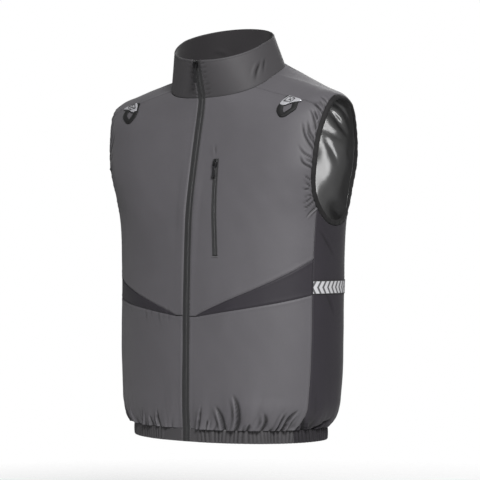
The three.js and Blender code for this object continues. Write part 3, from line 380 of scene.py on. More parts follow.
def fine_gathers(points, angle):
    """Small upright folds that the elastic makes in the cloth just above it."""
    rise = np.maximum(points[..., 2] - HEM_TOP, 0)
    run = np.degrees(angle) * 2.9
    drift = 7 * np.sin(run / 61) + 4 * np.sin(run / 23 + 1)
    quiet = 1 - np.exp(-(np.abs(points[..., 0]) / 24) ** 4) * (points[..., 1] < 0)
    tall = 0.6 + 0.5 * np.sin(run / 37 + 2) ** 2
    uneven = 0.55 + 0.45 * np.sin(run / 29 + 0.7)
    broad = 3.4 * uneven * pleat((run + drift + 0.12 * rise) / 11.2) * np.exp(-rise / (34 * tall))
    middle = 2.6 * pleat((run - drift - 0.2 * rise) / 5.6 + 1) * np.exp(-rise / (17 * tall))
    small = 1.6 * pleat((run + 0.5 * drift) / 2.9) * np.exp(-rise / 9)
    return quiet * (broad + middle + small) - 0.9 * np.exp(-rise / 12)


def soft_waves(points):
    """Slow unevenness that keeps a worn shell from looking like sheet metal."""
    x, y, z = points[..., 0], points[..., 1], points[..., 2]
    slow = np.sin(x / 31 + z / 57 + 1) * np.sin(z / 43 - y / 39)
    return 0.45 * slow + 0.22 * np.sin(x / 13 + 2 * np.sin(z / 37)) * np.sin(z / 19 + x / 29 + y / 17)


def through(knots, count=9):
    """Points on a smooth curve through the knots."""
    knots = np.array(knots, float)
    padded = np.concatenate([2 * knots[:1] - knots[1:2], knots, 2 * knots[-1:] - knots[-2:-1]])
    at = np.linspace(0, len(knots) - 1, count)
    i = np.minimum(at.astype(int), len(knots) - 2)
    t = (at - i)[:, None]
    a, b, c, d = (padded[i + k] for k in range(4))
    return 0.5 * (2 * b + (c - a) * t + (2 * a - 5 * b + 4 * c - d) * t**2 + (3 * b - a - 3 * c + d) * t**3)


def fold(points, normals, path, wide, high, side=1, both=False):
    """Height of one fold along a path: a valley with a ridge beside it, or with side 0 a plain ridge."""
    total = np.zeros(points.shape[:-1])
    low, top = path.min(0) - 4 * wide, path.max(0) + 4 * wide
    near = np.all((points > low) & (points < top), axis=-1)
    if not near.any():
        return total
    p, n = points[near], normals[near]
    best = np.full(len(p), 1e9)
    signed = np.zeros(len(p))
    along = np.zeros(len(p))
    count = len(path) - 1
    for i in range(count):
        run = path[i + 1] - path[i]
        t = np.clip((p - path[i]) @ run / (run @ run), 0, 1)
        off = p - path[i] - t[:, None] * run
        distance = np.linalg.norm(off, axis=1)
        turn = np.sign(np.sum(np.cross(run, off) * n, axis=1))
        closer = distance < best
        best = np.where(closer, distance, best)
        signed = np.where(closer, distance * turn, signed)
        along = np.where(closer, (i + t) / count, along)
    taper = np.clip(along / 0.6, 0, 1)
    if both:
        taper = taper * np.clip((1 - along) / 0.45, 0, 1)
    taper = taper * taper * (3 - 2 * taper)
    if side == 0:
        shape = np.exp(-((signed / wide) ** 2))
    else:
        beside = signed * side - 1.5 * wide
        shape = 0.9 * np.exp(-((beside / wide) ** 2)) - np.exp(-((signed / wide) ** 2))
    total[near] = high * taper * shape
    return total


# Knots are angles in degrees and levels, from the free end to the held end; then the width, the
# height and the side of the ridge.
ARMHOLE_FOLDS = [
    ([(54, 2.06), (56, 1.95), (57.8, 1.85)], 2.6, 1.5, 1),
    ([(49, 1.96), (50.5, 1.85), (53, 1.76), (56.5, 1.68)], 3.0, 2.0, 1),
    ([(52, 1.95), (53.6, 1.85), (56.6, 1.77)], 2.4, 1.6, 1),
    ([(56.5, 2.02), (58.6, 1.92)], 2.2, 1.3, 1),
    ([(49, 1.66), (52, 1.57), (57.4, 1.51)], 2.6, 1.7, 1),
    ([(53.5, 1.45), (58.4, 1.40)], 1.9, 1.1, -1),
    ([(56, 1.38), (59.6, 1.34)], 1.8, 1.0, 1),
    ([(55.5, 1.18), (60, 1.20), (63, 1.25)], 2.0, 1.4, -1),
    ([(57, 1.13), (61, 1.15), (64.5, 1.195)], 2.0, 1.3, -1),
    ([(60.5, 1.04), (64, 1.10), (67.5, 1.14)], 2.2, 1.5, -1),
    ([(60, 2.02), (63.4, 1.94)], 2.0, 1.1, 1),
    ([(68, 2.2), (69, 2.03)], 2.4, 1.2, 1),
    ([(47, 1.78), (51, 1.67), (56.6, 1.6)], 2.8, 0.9, 1),
    ([(58, 2.12), (61.5, 1.98)], 2.4, 1.4, 1),
    ([(63, 2.12), (66.5, 1.99)], 2.4, 1.4, 1),
    ([(51, 1.9), (54, 1.8), (57, 1.73)], 2.4, 1.5, 1),
    ([(52.5, 1.6), (58, 1.55)], 2.2, 1.2, -1),
    ([(54, 1.33), (60, 1.31)], 2.2, 1.2, 1),
    ([(56.5, 1.24), (61.5, 1.26)], 2.2, 1.2, -1),
]
HEM_FOLDS = [
    ([(9.3, 0.13), (8.6, 0.05), (8.8, 0.0)], 2.4, 2.6, -1),
    ([(16.5, 0.13), (20, 0.065), (23.5, 0.0)], 4.2, 3.0, -1),
    ([(25, 0.19), (27.5, 0.13), (29, 0.07), (30, 0.0)], 4.0, 3.6, -1),
    ([(41.5, 0.1), (43.5, 0.05), (44.3, 0.0)], 4.0, 2.6, -1),
    ([(53.5, 0.1), (52, 0.05), (52.3, 0.0)], 3.4, 2.4, -1),
    ([(61, 0.11), (56, 0.06), (56, 0.0)], 3.4, 2.6, 1),
    ([(65.5, 0.07), (68, 0.03), (71, 0.0)], 4.5, 3.4, 1),
    ([(97, 0.05), (88, 0.025), (80, 0.003)], 4.0, 2.6, 1),
    ([(13, 0.06), (13.6, 0.0)], 2.0, 1.6, 1),
    ([(35.5, 0.05), (36, 0.0)], 2.6, 1.8, -1),
    ([(-29, 0.09), (-31, 0.03), (-33, 0.0)], 3.2, 2.4, 1),
    ([(-17.5, 0.1), (-18.3, 0.04), (-18.3, 0.0)], 2.8, 2.2, -1),
    ([(-24, 0.06), (-24.5, 0.0)], 2.4, 1.8, -1),
    ([(-43, 0.1), (-44, 0.0)], 3.4, 2.2, 1),
    ([(-57, 0.11), (-54, 0.05), (-54, 0.0)], 3.6, 2.4, -1),
    ([(-75, 0.1), (-72, 0.0)], 4.0, 2.6, -1),
]
LOOSE_FOLDS = [
    ([(-26, 0.63), (-24.3, 0.5)], 2.6, 0.7, 1),
    ([(-22, 0.62), (-20.6, 0.53)], 2.0, 0.5, 1),
    ([(-17, 0.61), (-15.4, 0.5)], 2.6, 0.7, 1),
    ([(-10.8, 0.62), (-9.8, 0.51)], 2.6, 0.7, -1),
    ([(9.5, 1.9), (10.0, 1.83), (10.8, 1.75)], 2.4, 0.9, -1),
    ([(70, 1.0), (78, 0.93), (92, 0.82)], 3.4, 1.3, 1),
    ([(74, 0.72), (84, 0.63), (90, 0.54)], 3.4, 1.0, 1),
    ([(4.6, 1.95), (3.8, 1.5), (3.4, 1.0), (3.4, 0.5)], 8.0, 1.5, 0),
    ([(-4.6, 1.95), (-3.8, 1.5), (-3.4, 1.0), (-3.4, 0.5)], 8.0, 1.1, 0),
    ([(30, 0.75), (22, 0.6), (17, 0.4)], 14.0, 1.2, 0),
    ([(150, 1.7), (165, 1.5), (190, 1.42), (205, 1.5)], 12.0, 1.4, 0),
    ([(132, 0.5), (150, 0.36), (176, 0.3)], 9.0, 1.2, 1),
    ([(228, 0.55), (212, 0.38), (190, 0.3)], 9.0, 1.2, -1),
]


def on_body(knots):
    turn = through([(math.radians(angle), level) for angle, level in knots])
    return smooth_body(turn[:, 0], turn[:, 1])


def all_folds():
    folds = []
    for knots, wide, high, side in ARMHOLE_FOLDS:
        folds.append((on_body(knots), max(0.62 * wide, 1.65), 1.7 * high, side, False))
        folds.append((on_body([(-angle, level) for angle, level in knots]), wide, 0.9 * high, -side, False))
    for knots, wide, high, side in HEM_FOLDS:
        folds.append((on_body(knots), 0.75 * wide, 2.1 * high, side, False))
    for knots, wide, high, side in LOOSE_FOLDS:
        folds.append((on_body(knots), wide, high, side, True))
    # puckers behind the armholes, evenly spaced with a little drift
    for k in range(11):
        level = 1.12 + 0.078 * k + 0.02 * math.sin(3 * k)
        edge = math.degrees(float(armhole_angle(level, False)))
        away = 6.5 + 4 * abs(math.sin(2.1 * k))
        climb = 0.07 * (level - 1.5) + 0.02 * math.sin(5 * k)
        for turn in (1, -1):
            knots = [(turn * (edge + away), level + climb), (turn * (edge + away / 2), level + climb / 2)]
            knots.append((turn * edge, level))
            folds.append((on_body(knots), 2.4, 1.1 + 0.5 * math.sin(k), turn, False))
    return folds


FOLDS = all_folds()


def relief(points, normals, angle):
    """How far the shell stands out from the smooth body, in millimetres."""
    total = gathers(points, angle) + fine_gathers(points, angle) + soft_waves(points)
    for path, wide, high, side, both in FOLDS:
        total = total + fold(points, normals, path, wide, high, side, both)
    # the lining lies close behind, so no valley is deep
    return np.where(total < 0, -2.4 * np.tanh(-total / 2.4), total)


print("folds", len(FOLDS))

# %% [markdown]
# ## From grids to cloth
#
# A piece of cloth is two grids, an outer and an inner face, closed round their rims. Along a sewn
# edge the cloth dips into the seam, swells behind the stitches and puckers a little, so the grid
# is fine there and coarser in the middle. Each piece also gets a flat map in metres, which the
# finishes use to lay threads at their real size.

# %% Grids and meshes
DETAIL = 1.0
FINE = np.array([0.0, 0.5, 1.0, 1.5, 2.1, 2.8, 3.7, 5.0])
made = {}


def spread(length, pitch, start=True, end=True):
    """Shares from 0 to 1 along a length, closely spaced beside its seams."""
    low = FINE if start else FINE[:1]
    high = length - (FINE if end else FINE[:1])[::-1]
    count = max(int(round((high[0] - low[-1]) / (pitch * DETAIL))), 2)
    return np.concatenate([low, np.linspace(low[-1], high[0], count + 1)[1:-1], high]) / length


def lengths(points, axis):
    """Distance from the first line of a grid, and to its last line."""
    steps = np.linalg.norm(np.diff(points, axis=axis), axis=-1)
    start = np.concatenate([np.zeros_like(steps.take([0], axis)), np.cumsum(steps, axis=axis)], axis=axis)
    return start, start.take([-1], axis) - start


def seam(distance, run):
    """Dip, swelling, groove under the stitches and puckers of the cloth beside a seam."""
    dip = -0.8 * np.exp(-((distance / 0.9) ** 2))
    swell = 0.35 * np.exp(-(((distance - 3.6) / 1.9) ** 2))
    groove = -0.25 * np.exp(-(((distance - 2.1) / 0.5) ** 2))
    pucker = 0.22 * np.sin(run * 0.8 + 1.7 * np.sin(run * 0.11)) * np.exp(-distance / 4.5)
    return dip + swell + groove + pucker


def hollows(out, reach=3):
    """How far each point lies below its surroundings, from 0 to 1."""
    around = np.pad(out, reach, mode="edge")
    rows, columns = out.shape
    total = 0
    for k in range(2 * reach + 1):
        upright = around[k : k + rows, reach : reach + columns]
        total = total + upright + around[reach : reach + rows, k : k + columns]
    return np.clip((total / (4 * reach + 2) - out) / 0.9, 0, 1)


def paint_crease_shade(piece, out):
    """Stores how deep each point lies in its fold, so that the finish paints shade into the creases."""
    values = np.concatenate([hollows(out).ravel(), np.zeros(out.size)])
    piece.data.attributes.new("painted_crease_shade", "FLOAT", "POINT").data.foreach_set("value", values)


def add_object(name, data):
    thing = bpy.data.objects.new(name, data)
    bpy.context.collection.objects.link(thing)
    return thing


def raised(points, normals, high):
    """Points moved out of the smooth form by a height for each."""
    return points + normals * high[..., None]


def grid_object(name, outer, inner, flat_map, closed=False):
    """A closed mesh between two grids of points; the columns may run all the way round."""
    rows, columns = outer.shape[:2]
    verts = np.concatenate([outer.reshape(-1, 3), inner.reshape(-1, 3)]) * METRES
    index = np.arange(rows * columns).reshape(rows, columns)
    if closed:
        index = np.concatenate([index, index[:, :1]], axis=1)
    a, b, c, d = index[:-1, :-1], index[:-1, 1:], index[1:, 1:], index[1:, :-1]
    back = rows * columns
    parts = [np.stack([a, b, c, d], -1).reshape(-1, 4), np.stack([a, d, c, b], -1).reshape(-1, 4) + back]

    def rim(line):
        return np.stack([line[1:], line[:-1], line[:-1] + back, line[1:] + back], -1)

    parts += [rim(index[0]), rim(index[-1][::-1])]
    if not closed:
        parts += [rim(index[:, 0][::-1]), rim(index[:, -1])]
    faces = np.concatenate(parts)
    mesh = bpy.data.meshes.new(name)
    mesh.vertices.add(len(verts))
    mesh.vertices.foreach_set("co", verts.ravel())
    mesh.loops.add(faces.size)
    mesh.loops.foreach_set("vertex_index", faces.ravel())
    mesh.polygons.add(len(faces))
    mesh.polygons.foreach_set("loop_start", np.arange(0, faces.size, 4))
    mesh.update(calc_edges=True)
    mesh.shade_smooth()
    both = np.concatenate([flat_map.reshape(-1, 2)] * 2) * METRES
    mesh.uv_layers.new(name="cut").data.foreach_set("uv", both[faces.ravel()].ravel())
    mesh.validate()
    return add_object(name, mesh)


def dress(piece, node, slot, body="vest", finish=None):
    """Hands a piece its place in the frame and its finish, and hides the CAD node that it stands for."""
    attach(piece, body)
    if node:
        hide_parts(node)
    piece.data.materials.clear()
    piece.data.materials.append(FINISHES[finish or slot])
    return piece


def area_of(points):
    across = points[1:, 1:] - points[:-1, :-1]
    other = points[1:, :-1] - points[:-1, 1:]
    return float(np.linalg.norm(np.cross(across, other), axis=-1).sum() / 2)


def as_sheet(piece, points, rests_on, ease=1.03):
    """Prints the size that a piece of cloth was cut to, and its area."""
    wide = float(lengths(points, 1)[0][:, -1].max()) * METRES * ease
    tall = float(lengths(points, 0)[0][-1].max()) * METRES * ease
    area = min(max(area_of(points) * METRES**2 * ease**2, 0.31 * wide * tall), 0.999 * wide * tall)
    print(f"{piece.name}: cut {wide * 1000:.0f} x {tall * 1000:.0f} mm, {area:.4f} square metres")


def shell_piece(node, angle, level, slot, flip=False, faint=()):
    """One panel of the shell, from grids of angles and levels on the left side as worn."""
    if flip:
        angle, level = -angle[:, ::-1], level[:, ::-1]
    points = smooth_body(angle, level)
    normals = cloth_normal(angle, level)
    from_left, from_right = lengths(points, 1)
    from_low, from_top = lengths(points, 0)
    folds = relief(points, normals, angle)
    out = folds
    pairs = {
        "l": (from_left, from_low), "r": (from_right, from_low),
        "b": (from_low, from_left), "t": (from_top, from_left),
    }
    for key in "lrbt":
        share = 1.0
        if key in "bt" and "front" in node:
            # the wedge's seam dies out between its point and the zip
            share = np.clip((np.abs(points[..., 0]) - 17) / 6, 0.15, 1)
        if key in faint:
            share = 0.2
        if key == "b" and level.min() < 0.01:
            # the elastic draws the cloth flush with the band
            share = 0.25
        out = out + share * seam(*pairs[key])
    outer = raised(points, normals, out)
    inner = raised(points, normals, np.maximum(out - CLOTH, -CLOTH - 2.2))
    flat_map = np.stack([from_left, from_low], -1)
    piece = grid_object(f"{node}_cloth", outer, inner, flat_map)
    paint_crease_shade(piece, folds)
    dress(piece, node, slot)
    as_sheet(piece, points, ["lining_back" if "back" in node else "collar"])
    made[node] = (outer, normals)


print("detail", DETAIL)

# %% [markdown]
# ## Finishes
#
# The shell is a fine plain weave in grey, a little darker and duller in the wedges and side
# panels. The lining has a glossy coat that catches light in hard streaks. Each finish is one
# Principled shader. A small class lets the sums for its threads be written as plain Python: every
# operator adds a Math node. Colours are mixed with Mix nodes, as a Math node would turn them grey.

# %% A class for shader sums
class Wire:
    """A socket of a finish; arithmetic on it adds Math nodes."""

    def __init__(self, finish, socket):
        self.finish = finish
        self.socket = socket

    def sum(self, operation, *values):
        return self.finish.node("ShaderNodeMath", {"operation": operation}, dict(enumerate(values)))

    def __add__(self, other):
        return self.sum("ADD", self, other)

    def __sub__(self, other):
        return self.sum("SUBTRACT", self, other)

    def __rsub__(self, other):
        return self.sum("SUBTRACT", other, self)

    def __mul__(self, other):
        return self.sum("MULTIPLY", self, other)

    def __truediv__(self, other):
        return self.sum("DIVIDE", self, other)

    def __gt__(self, other):
        return self.sum("GREATER_THAN", self, other)

    def __lt__(self, other):
        return self.sum("LESS_THAN", self, other)

    __radd__ = __add__
    __rmul__ = __mul__

    def sine(self):
        return self.sum("SINE", self)

    def size(self):
        return self.sum("ABSOLUTE", self)

    def part(self):
        return self.sum("FRACT", self)

    def smaller(self, other):
        return self.sum("MINIMUM", self, other)


class Finish:
    """A material with one Principled shader."""

    def __init__(self, name, **constants):
        self.material = bpy.data.materials.new(name)
        self.material.use_nodes = True
        self.tree = self.material.node_tree
        self.shader = self.tree.nodes["Principled BSDF"]
        for key, value in constants.items():
            self.put(self.shader.inputs[key.replace("_", " ")], value)

    def put(self, socket, value):
        if isinstance(value, Wire):
            self.tree.links.new(value.socket, socket)
        elif isinstance(value, tuple) and len(value) == 3 and socket.type == "RGBA":
            socket.default_value = (*value, 1)
        else:
            socket.default_value = value

    def node(self, kind, settings=None, values=None, output=0):
        node = self.tree.nodes.new(kind)
        for key, value in (settings or {}).items():
            setattr(node, key, value)
        for key, value in (values or {}).items():
            self.put(node.inputs[key], value)
        return Wire(self, node.outputs[output])

    def set(self, **wires):
        for key, value in wires.items():
            self.put(self.shader.inputs[key.replace("_", " ")], value)
        return self.material

    def flat_map(self):
        """Position across and along the cut cloth, in metres."""
        place = self.node("ShaderNodeUVMap", {"uv_map": "cut"})
        return [self.node("ShaderNodeSeparateXYZ", None, {0: place}, k) for k in (0, 1)]

    def noise(self, scale, detail=3.0, rough=0.5, stretch=(1, 1, 1)):
        place = self.node("ShaderNodeTexCoord", None, None, "Object")
        place = self.node("ShaderNodeMapping", None, {"Vector": place, "Scale": stretch})
        values = {"Vector": place, "Scale": scale, "Detail": detail, "Roughness": rough}
        return self.node("ShaderNodeTexNoise", None, values)

    def blend(self, share, a, b):
        return self.node("ShaderNodeMix", {"data_type": "RGBA"}, {0: share, 6: a, 7: b}, 2)

    def bump(self, height, distance, strength=1.0, normal=None):
        values = {"Height": height, "Distance": distance, "Strength": strength}
        if normal:
            values["Normal"] = normal
        return self.node("ShaderNodeBump", None, values)


def shade(colour, factor):
    return tuple(channel * factor for channel in colour)


print("shader class ready")

# %% [markdown]
# A woven cloth is threads going over and under each other. The product of two sine waves, across
# and along the cut, gives that pattern, and it is small enough to show only up close. Two noises
# add the slight cloudiness of dyed cloth and the crumple that handling leaves.

# %% Cloth, lining and trim finishes
FINISHES = {}


def woven(slot, colour, pitch, rough, sheen, crumple=0.0005, weft=1.0):
    finish = Finish(slot, Sheen_Weight=sheen, Sheen_Roughness=0.45, Specular_IOR_Level=0.35)
    across, along = finish.flat_map()
    turn = 2 * math.pi / pitch
    threads = (across * turn).sine() * (along * (turn * weft)).sine()
    cloud = finish.noise(9, 4.0, 0.6)
    speck = finish.noise(900, 2.0)
    tone = cloud * 0.5 + speck * 0.35 + threads * 0.06
    painted_crease_shade = finish.node("ShaderNodeAttribute", {"attribute_name": "painted_crease_shade"}, None, "Fac")
    tint = finish.blend(tone, shade(colour, 0.78), shade(colour, 1.2))
    # painted shade: creases and rib valleys are darkened nearly to black by their depth
    tint = finish.blend(painted_crease_shade * 0.9, tint, shade(colour, 0.15))
    crease = finish.bump(finish.noise(55, 5.0, 0.55), crumple, 0.6)
    weave = finish.bump(threads, 0.00005, 0.5, crease)
    FINISHES[slot] = finish.set(Base_Color=tint, Roughness=cloud * 0.12 + (rough - 0.06), Normal=weave)


woven("shell_cloth", (0.088, 0.084, 0.092), 0.0011, 0.58, 0.1)
woven("dark_cloth", (0.0205, 0.0178, 0.0232), 0.0013, 0.66, 0.06)
# the collar's copy of the shell cloth is darker only as painted shade
woven("collar_cloth", (0.050, 0.0475, 0.051), 0.0011, 0.62, 0.06)
# the hem bands' copies of the dark and shell cloth are darker only as painted shade
woven("shaded_hem_dark", (0.0145, 0.0125, 0.016), 0.0013, 0.66, 0.05)
woven("shaded_hem_cloth", (0.052, 0.0495, 0.053), 0.0011, 0.6, 0.08)
woven("collar_facing", (0.022, 0.020, 0.022), 0.0016, 0.85, 0.12, 0.0002)
woven("loop_webbing", (0.007, 0.007, 0.0075), 0.0018, 0.7, 0.04, 0.0001, 0.6)
woven("binding", (0.0075, 0.007, 0.0075), 0.0016, 0.8, 0.04, 0.0001, 0.35)
woven("zip_tape", (0.022, 0.022, 0.023), 0.0014, 0.75, 0.12, 0.0001, 0.5)


def glossy_lining():
    finish = Finish("lining", Metallic=0.0, Coat_Roughness=0.12, Specular_IOR_Level=0.4)
    cloud = finish.noise(14, 4.0, 0.6)
    wrinkle = finish.noise(16, 2.0, 0.35, (1.0, 1.0, 0.5))
    tint = finish.blend(cloud, (0.012, 0.012, 0.012), (0.04, 0.04, 0.041))
    fine = finish.bump(wrinkle, 0.001, 0.5)
    FINISHES["lining"] = finish.set(
        Base_Color=tint, Roughness=cloud * 0.2 + 0.3, Coat_Weight=cloud * 0.4 + 0.4, Normal=fine,
    )


def chevrons():
    """Bright arrowheads on dark cloth, with a black edge above and below."""
    finish = Finish("reflective", Specular_IOR_Level=0.6)
    across, along = finish.flat_map()
    height = (along - 0.012).size()
    arrow = ((across - height * 0.62) / 0.0118).part()
    bright = (arrow < 0.62) * (height < 0.0104)
    beads = finish.noise(2600, 1.0)
    silver = finish.blend(beads, (0.50, 0.50, 0.52), (0.72, 0.72, 0.74))
    edge = height > 0.0108
    ground = finish.blend(edge, (0.075, 0.075, 0.078), (0.008, 0.008, 0.009))
    tint = finish.blend(bright, ground, silver)
    raised = finish.bump(bright, 0.00012, 0.6)
    FINISHES["reflective"] = finish.set(
        Base_Color=tint, Roughness=0.7 - bright * 0.3, Metallic=bright * 0.3, Normal=raised,
    )


def bright_tab():
    finish = Finish("silver_tab", Specular_IOR_Level=0.6)
    wear = finish.noise(120, 4.0, 0.6)
    beads = finish.noise(2400, 1.0)
    tint = finish.blend(wear * 0.6 + beads * 0.4, (0.34, 0.34, 0.36), (0.62, 0.62, 0.65))
    normal = finish.bump(finish.noise(160, 4.0), 0.0003, 0.6)
    FINISHES["silver_tab"] = finish.set(
        Base_Color=tint, Roughness=wear * 0.25 + 0.28, Metallic=wear * 0.3 + 0.25, Normal=normal,
    )


def hard(slot, colour, rough, metallic, coat=0.0):
    """Painted metal or moulded plastic, paler in small rubbed patches."""
    finish = Finish(slot, Coat_Roughness=0.2, Metallic=metallic)
    worn = finish.noise(420, 4.0, 0.6)
    rubbed = (worn - 0.45) * 1.4
    tint = finish.blend(rubbed.smaller(1.0), colour, shade(colour, 2.2))
    normal = finish.bump(finish.noise(1500, 2.0), 0.00004, 0.5)
    FINISHES[slot] = finish.set(
        Base_Color=tint, Roughness=worn * 0.2 + rough - 0.1, Coat_Weight=worn * 0.2 + coat, Normal=normal,
    )


glossy_lining()
chevrons()
bright_tab()
hard("zip_chain", (0.020, 0.020, 0.021), 0.42, 0.0, 0.1)
hard("slider", (0.012, 0.012, 0.013), 0.3, 0.6, 0.3)
hard("pull", (0.010, 0.010, 0.011), 0.35, 0.0, 0.3)
woven("thread", (0.085, 0.082, 0.088), 0.0006, 0.6, 0.2, 0.00002)
woven("dark_thread", (0.020, 0.019, 0.021), 0.0006, 0.6, 0.2, 0.00002)
print("finishes", sorted(FINISHES))

# %% [markdown]
# ## The front
#
# Each front half is cut in three: a lower panel, a dark wedge that narrows to a point beside the
# zip, and an upper panel that reaches the yoke and the neck. The columns of the three grids agree,
# so their folds run on across the wedge's seams. The grid is finest beside the armhole, where the
# puckers are.

# %% Front panels
def front_columns():
    inner = spread(15, 2.4, True, False) * TIP_SHARE
    plain = np.linspace(0, 0.66, int(78 / DETAIL))
    close = 0.66 + 0.34 * spread(66, 1.6, False, True)
    outer = TIP_SHARE + (1 - TIP_SHARE) * np.concatenate([plain[:-1], close])
    return np.concatenate([inner[:-1], outer])


FRONT_COLUMNS = front_columns()
TIP_AT = int(np.argmin(np.abs(FRONT_COLUMNS - TIP_SHARE)))


def front_panels(side, flip):
    s = FRONT_COLUMNS[None, :]
    rows = spread(200, 2.4)[:, None]
    level = wedge_level(s, side, False) * rows**1.15
    shell_piece(f"front_lower_{side}", front_angle(s, level, side), level, "shell_cloth", flip)

    s = FRONT_COLUMNS[None, TIP_AT:]
    rows = spread(50, 2.6)[:, None]
    level = mix(wedge_level(s, side, False), wedge_level(s, side, True), rows)
    shell_piece(f"front_wedge_{side}", front_angle(s, level, side), level, "dark_cloth", flip)

    s = FRONT_COLUMNS[None, :]
    below = spread(120, 2.2, True, False)[:-1, None]
    start = mix(wedge_level(s, side, True), FRONT_SEAM_TOP, below)
    plain = mix(FRONT_SEAM_TOP, 3, spread(260, 2.0, False, True)[:, None]) + 0 * s
    plain[-1] = level_moved(front_angle(s, plain[-1:], side)[0], plain[-1], -0.2)
    level = np.concatenate([start, plain])
    shell_piece(f"front_upper_{side}", front_angle(s, level, side), level, "shell_cloth", flip, "t")


for side, flip in LEFT_AND_RIGHT:
    front_panels(side, flip)

# %% [markdown]
# ## Back, sides and yokes
#
# The back is one panel. Between it and the fronts lie the dark side panels, whose upper edge is
# the bottom of the armhole. The yokes go over the shoulders. All of them share the front's seams.

# %% Back, side panels and yokes
BACK_WIDTH, BACK_HEIGHT = 500, 620
SIDE_WIDTH, SIDE_HEIGHT = 118, 360
YOKE_SIZE = 150


def back_panel():
    level = 3 * spread(BACK_HEIGHT, 4.0)[:, None] ** 1.1
    edge = outer_edge(level, False)
    s = spread(BACK_WIDTH, 4.2)[None, :]
    shell_piece("back_panel", mix(edge, 2 * math.pi - edge, s), level + 0 * s, "shell_cloth", faint="t")


def side_grid(columns, rows):
    s = columns[None, :]
    r = rows[:, None]
    corners = [armhole_angle(FRONT_SEAM_TOP, True), armhole_angle(BACK_SEAM_TOP, False)]
    top_angle = mix(corners[0], corners[1], s)
    level = armhole_level(top_angle, False) * r
    angle = mix(side_seam(level, True), side_seam(level, False), s)
    return mix(angle, top_angle, r**8), level


def yoke_grid(columns, rows):
    s = columns[None, :]
    t = rows[:, None]
    arm = mix(armhole_angle(YOKE_LEVEL, True), armhole_angle(YOKE_LEVEL, False), s)
    level = mix(armhole_level(arm, True), 3, t)
    level[:, 0] = mix(YOKE_LEVEL, 3, rows)
    level[:, -1] = mix(YOKE_LEVEL, 3, rows)
    return mix(yoke_seam(t, True), yoke_seam(t, False), s), level


back_panel()
for side, flip in LEFT_AND_RIGHT:
    angle, level = side_grid(spread(SIDE_WIDTH, 2.8), spread(SIDE_HEIGHT, 2.8) ** 1.1)
    shell_piece(f"side_panel_{side}", angle, level, "dark_cloth", flip)
    angle, level = yoke_grid(spread(YOKE_SIZE, 2.6), spread(YOKE_SIZE, 2.6))
    shell_piece(f"yoke_{side}", angle, level, "shell_cloth", flip, "t")

# %% [markdown]
# ## The lining
#
# Inside hangs a loose lining with a glossy black coat. It shows through the armhole and the neck,
# where its large slanting folds catch bright streaks. It is longer than the shell is, so it
# buckles inwards and never outwards: its folds only ever leave the shell.

# %% Lining
LINING_FOLDS = [
    ([(141, 2.18), (136.6, 2.08), (130, 1.92), (124, 1.8)], 6.0, 5.0),
    ([(148, 2.06), (142.6, 1.98), (136, 1.85), (129, 1.76)], 7.0, 5.5),
    ([(155, 1.92), (148.7, 1.86), (140, 1.79), (130, 1.74)], 5.0, 6.0),
    ([(150, 1.82), (148.2, 1.76), (144, 1.63), (141, 1.5)], 5.0, 3.5),
    ([(131, 2.3), (128, 2.15), (123, 1.98)], 6.0, 5.0),
    ([(136, 1.7), (130, 1.62), (120, 1.56)], 6.0, 4.5),
    ([(112, 1.06), (130, 1.1), (147, 1.2)], 11.0, 6.0),
    ([(175, 1.9), (168, 1.6), (160, 1.3), (156, 1.0)], 13.0, 4.0),
]


def on_turn(knots, turn):
    line = through([(math.radians(turn * angle), level) for angle, level in knots])
    return line[:, 0], line[:, 1]


def lining_relief(points, normals):
    x, y, z = points[..., 0], points[..., 1], points[..., 2]
    slant = np.sin((z + 0.8 * np.abs(x)) / 17 + 2 * np.sin(z / 61)) * np.sin(z / 41 + np.abs(x) / 23 + 1)
    total = 1.0 + 0.3 * slant + 0.1 * np.sin((z - 0.6 * x + y) / 7.3 + np.sin(z / 19))
    for knots, wide, high in LINING_FOLDS:
        for turn in (1, -1):
            path = on_body([(turn * a, b) for a, b in knots]) - 6 * cloth_normal(*on_turn(knots, turn))
            total = total + fold(points, normals, path, wide, high, 0, True)
    return np.maximum(total, 0)


def lining_piece(node, angle, level, flip=False, edges="lrbt"):
    if flip:
        angle, level = -angle[:, ::-1], level[:, ::-1]
        edges = edges.translate(str.maketrans("lr", "rl"))
    points = smooth_body(angle, level)
    normals = cloth_normal(angle, level)
    from_left, from_right = lengths(points, 1)
    from_low, from_top = lengths(points, 0)
    ends = {"l": from_left, "r": from_right, "b": from_low, "t": from_top}
    hold = np.ones(points.shape[:-1])
    for key in edges:
        hold = hold * (1 - np.exp(-((ends[key] / 9) ** 2)))
    inward = UNDER_SHELL + hold * lining_relief(points, normals)
    outer = raised(points, normals, -inward)
    inner = raised(points, normals, -inward - LINING)
    piece = grid_object(f"{node}_cloth", outer, inner, np.stack([from_left, from_low], -1))
    dress(piece, node, "lining")
    as_sheet(piece, outer, ["collar"])


def even(length, pitch):
    """Shares along a length whose ends need no finer lines."""
    return spread(length, pitch, False, False)


def side_linings(side, flip):
    s = FRONT_COLUMNS[None, ::4].copy()
    s[0, -1] = 1.0
    level = mix(0.0, 3.0, even(560, 5.0)[:, None]) + 0 * s
    level[-1] = level_moved(front_angle(s, level[-1:], side)[0], level[-1], -4)
    angle = angle_moved(front_angle(s, level, side), level, -0.2)
    lining_piece(f"lining_front_{side}", angle, level, flip)
    angle, level = side_grid(mix(0.01, 0.99, even(SIDE_WIDTH, 4.5)), even(SIDE_HEIGHT, 4.5) * 0.995)
    lining_piece(f"lining_side_{side}", angle, level, flip)
    angle, level = yoke_grid(mix(0.01, 0.99, even(YOKE_SIZE, 4.0)), mix(0.01, 0.97, even(YOKE_SIZE, 4.0)))
    lining_piece(f"lining_yoke_{side}", angle, level, flip)


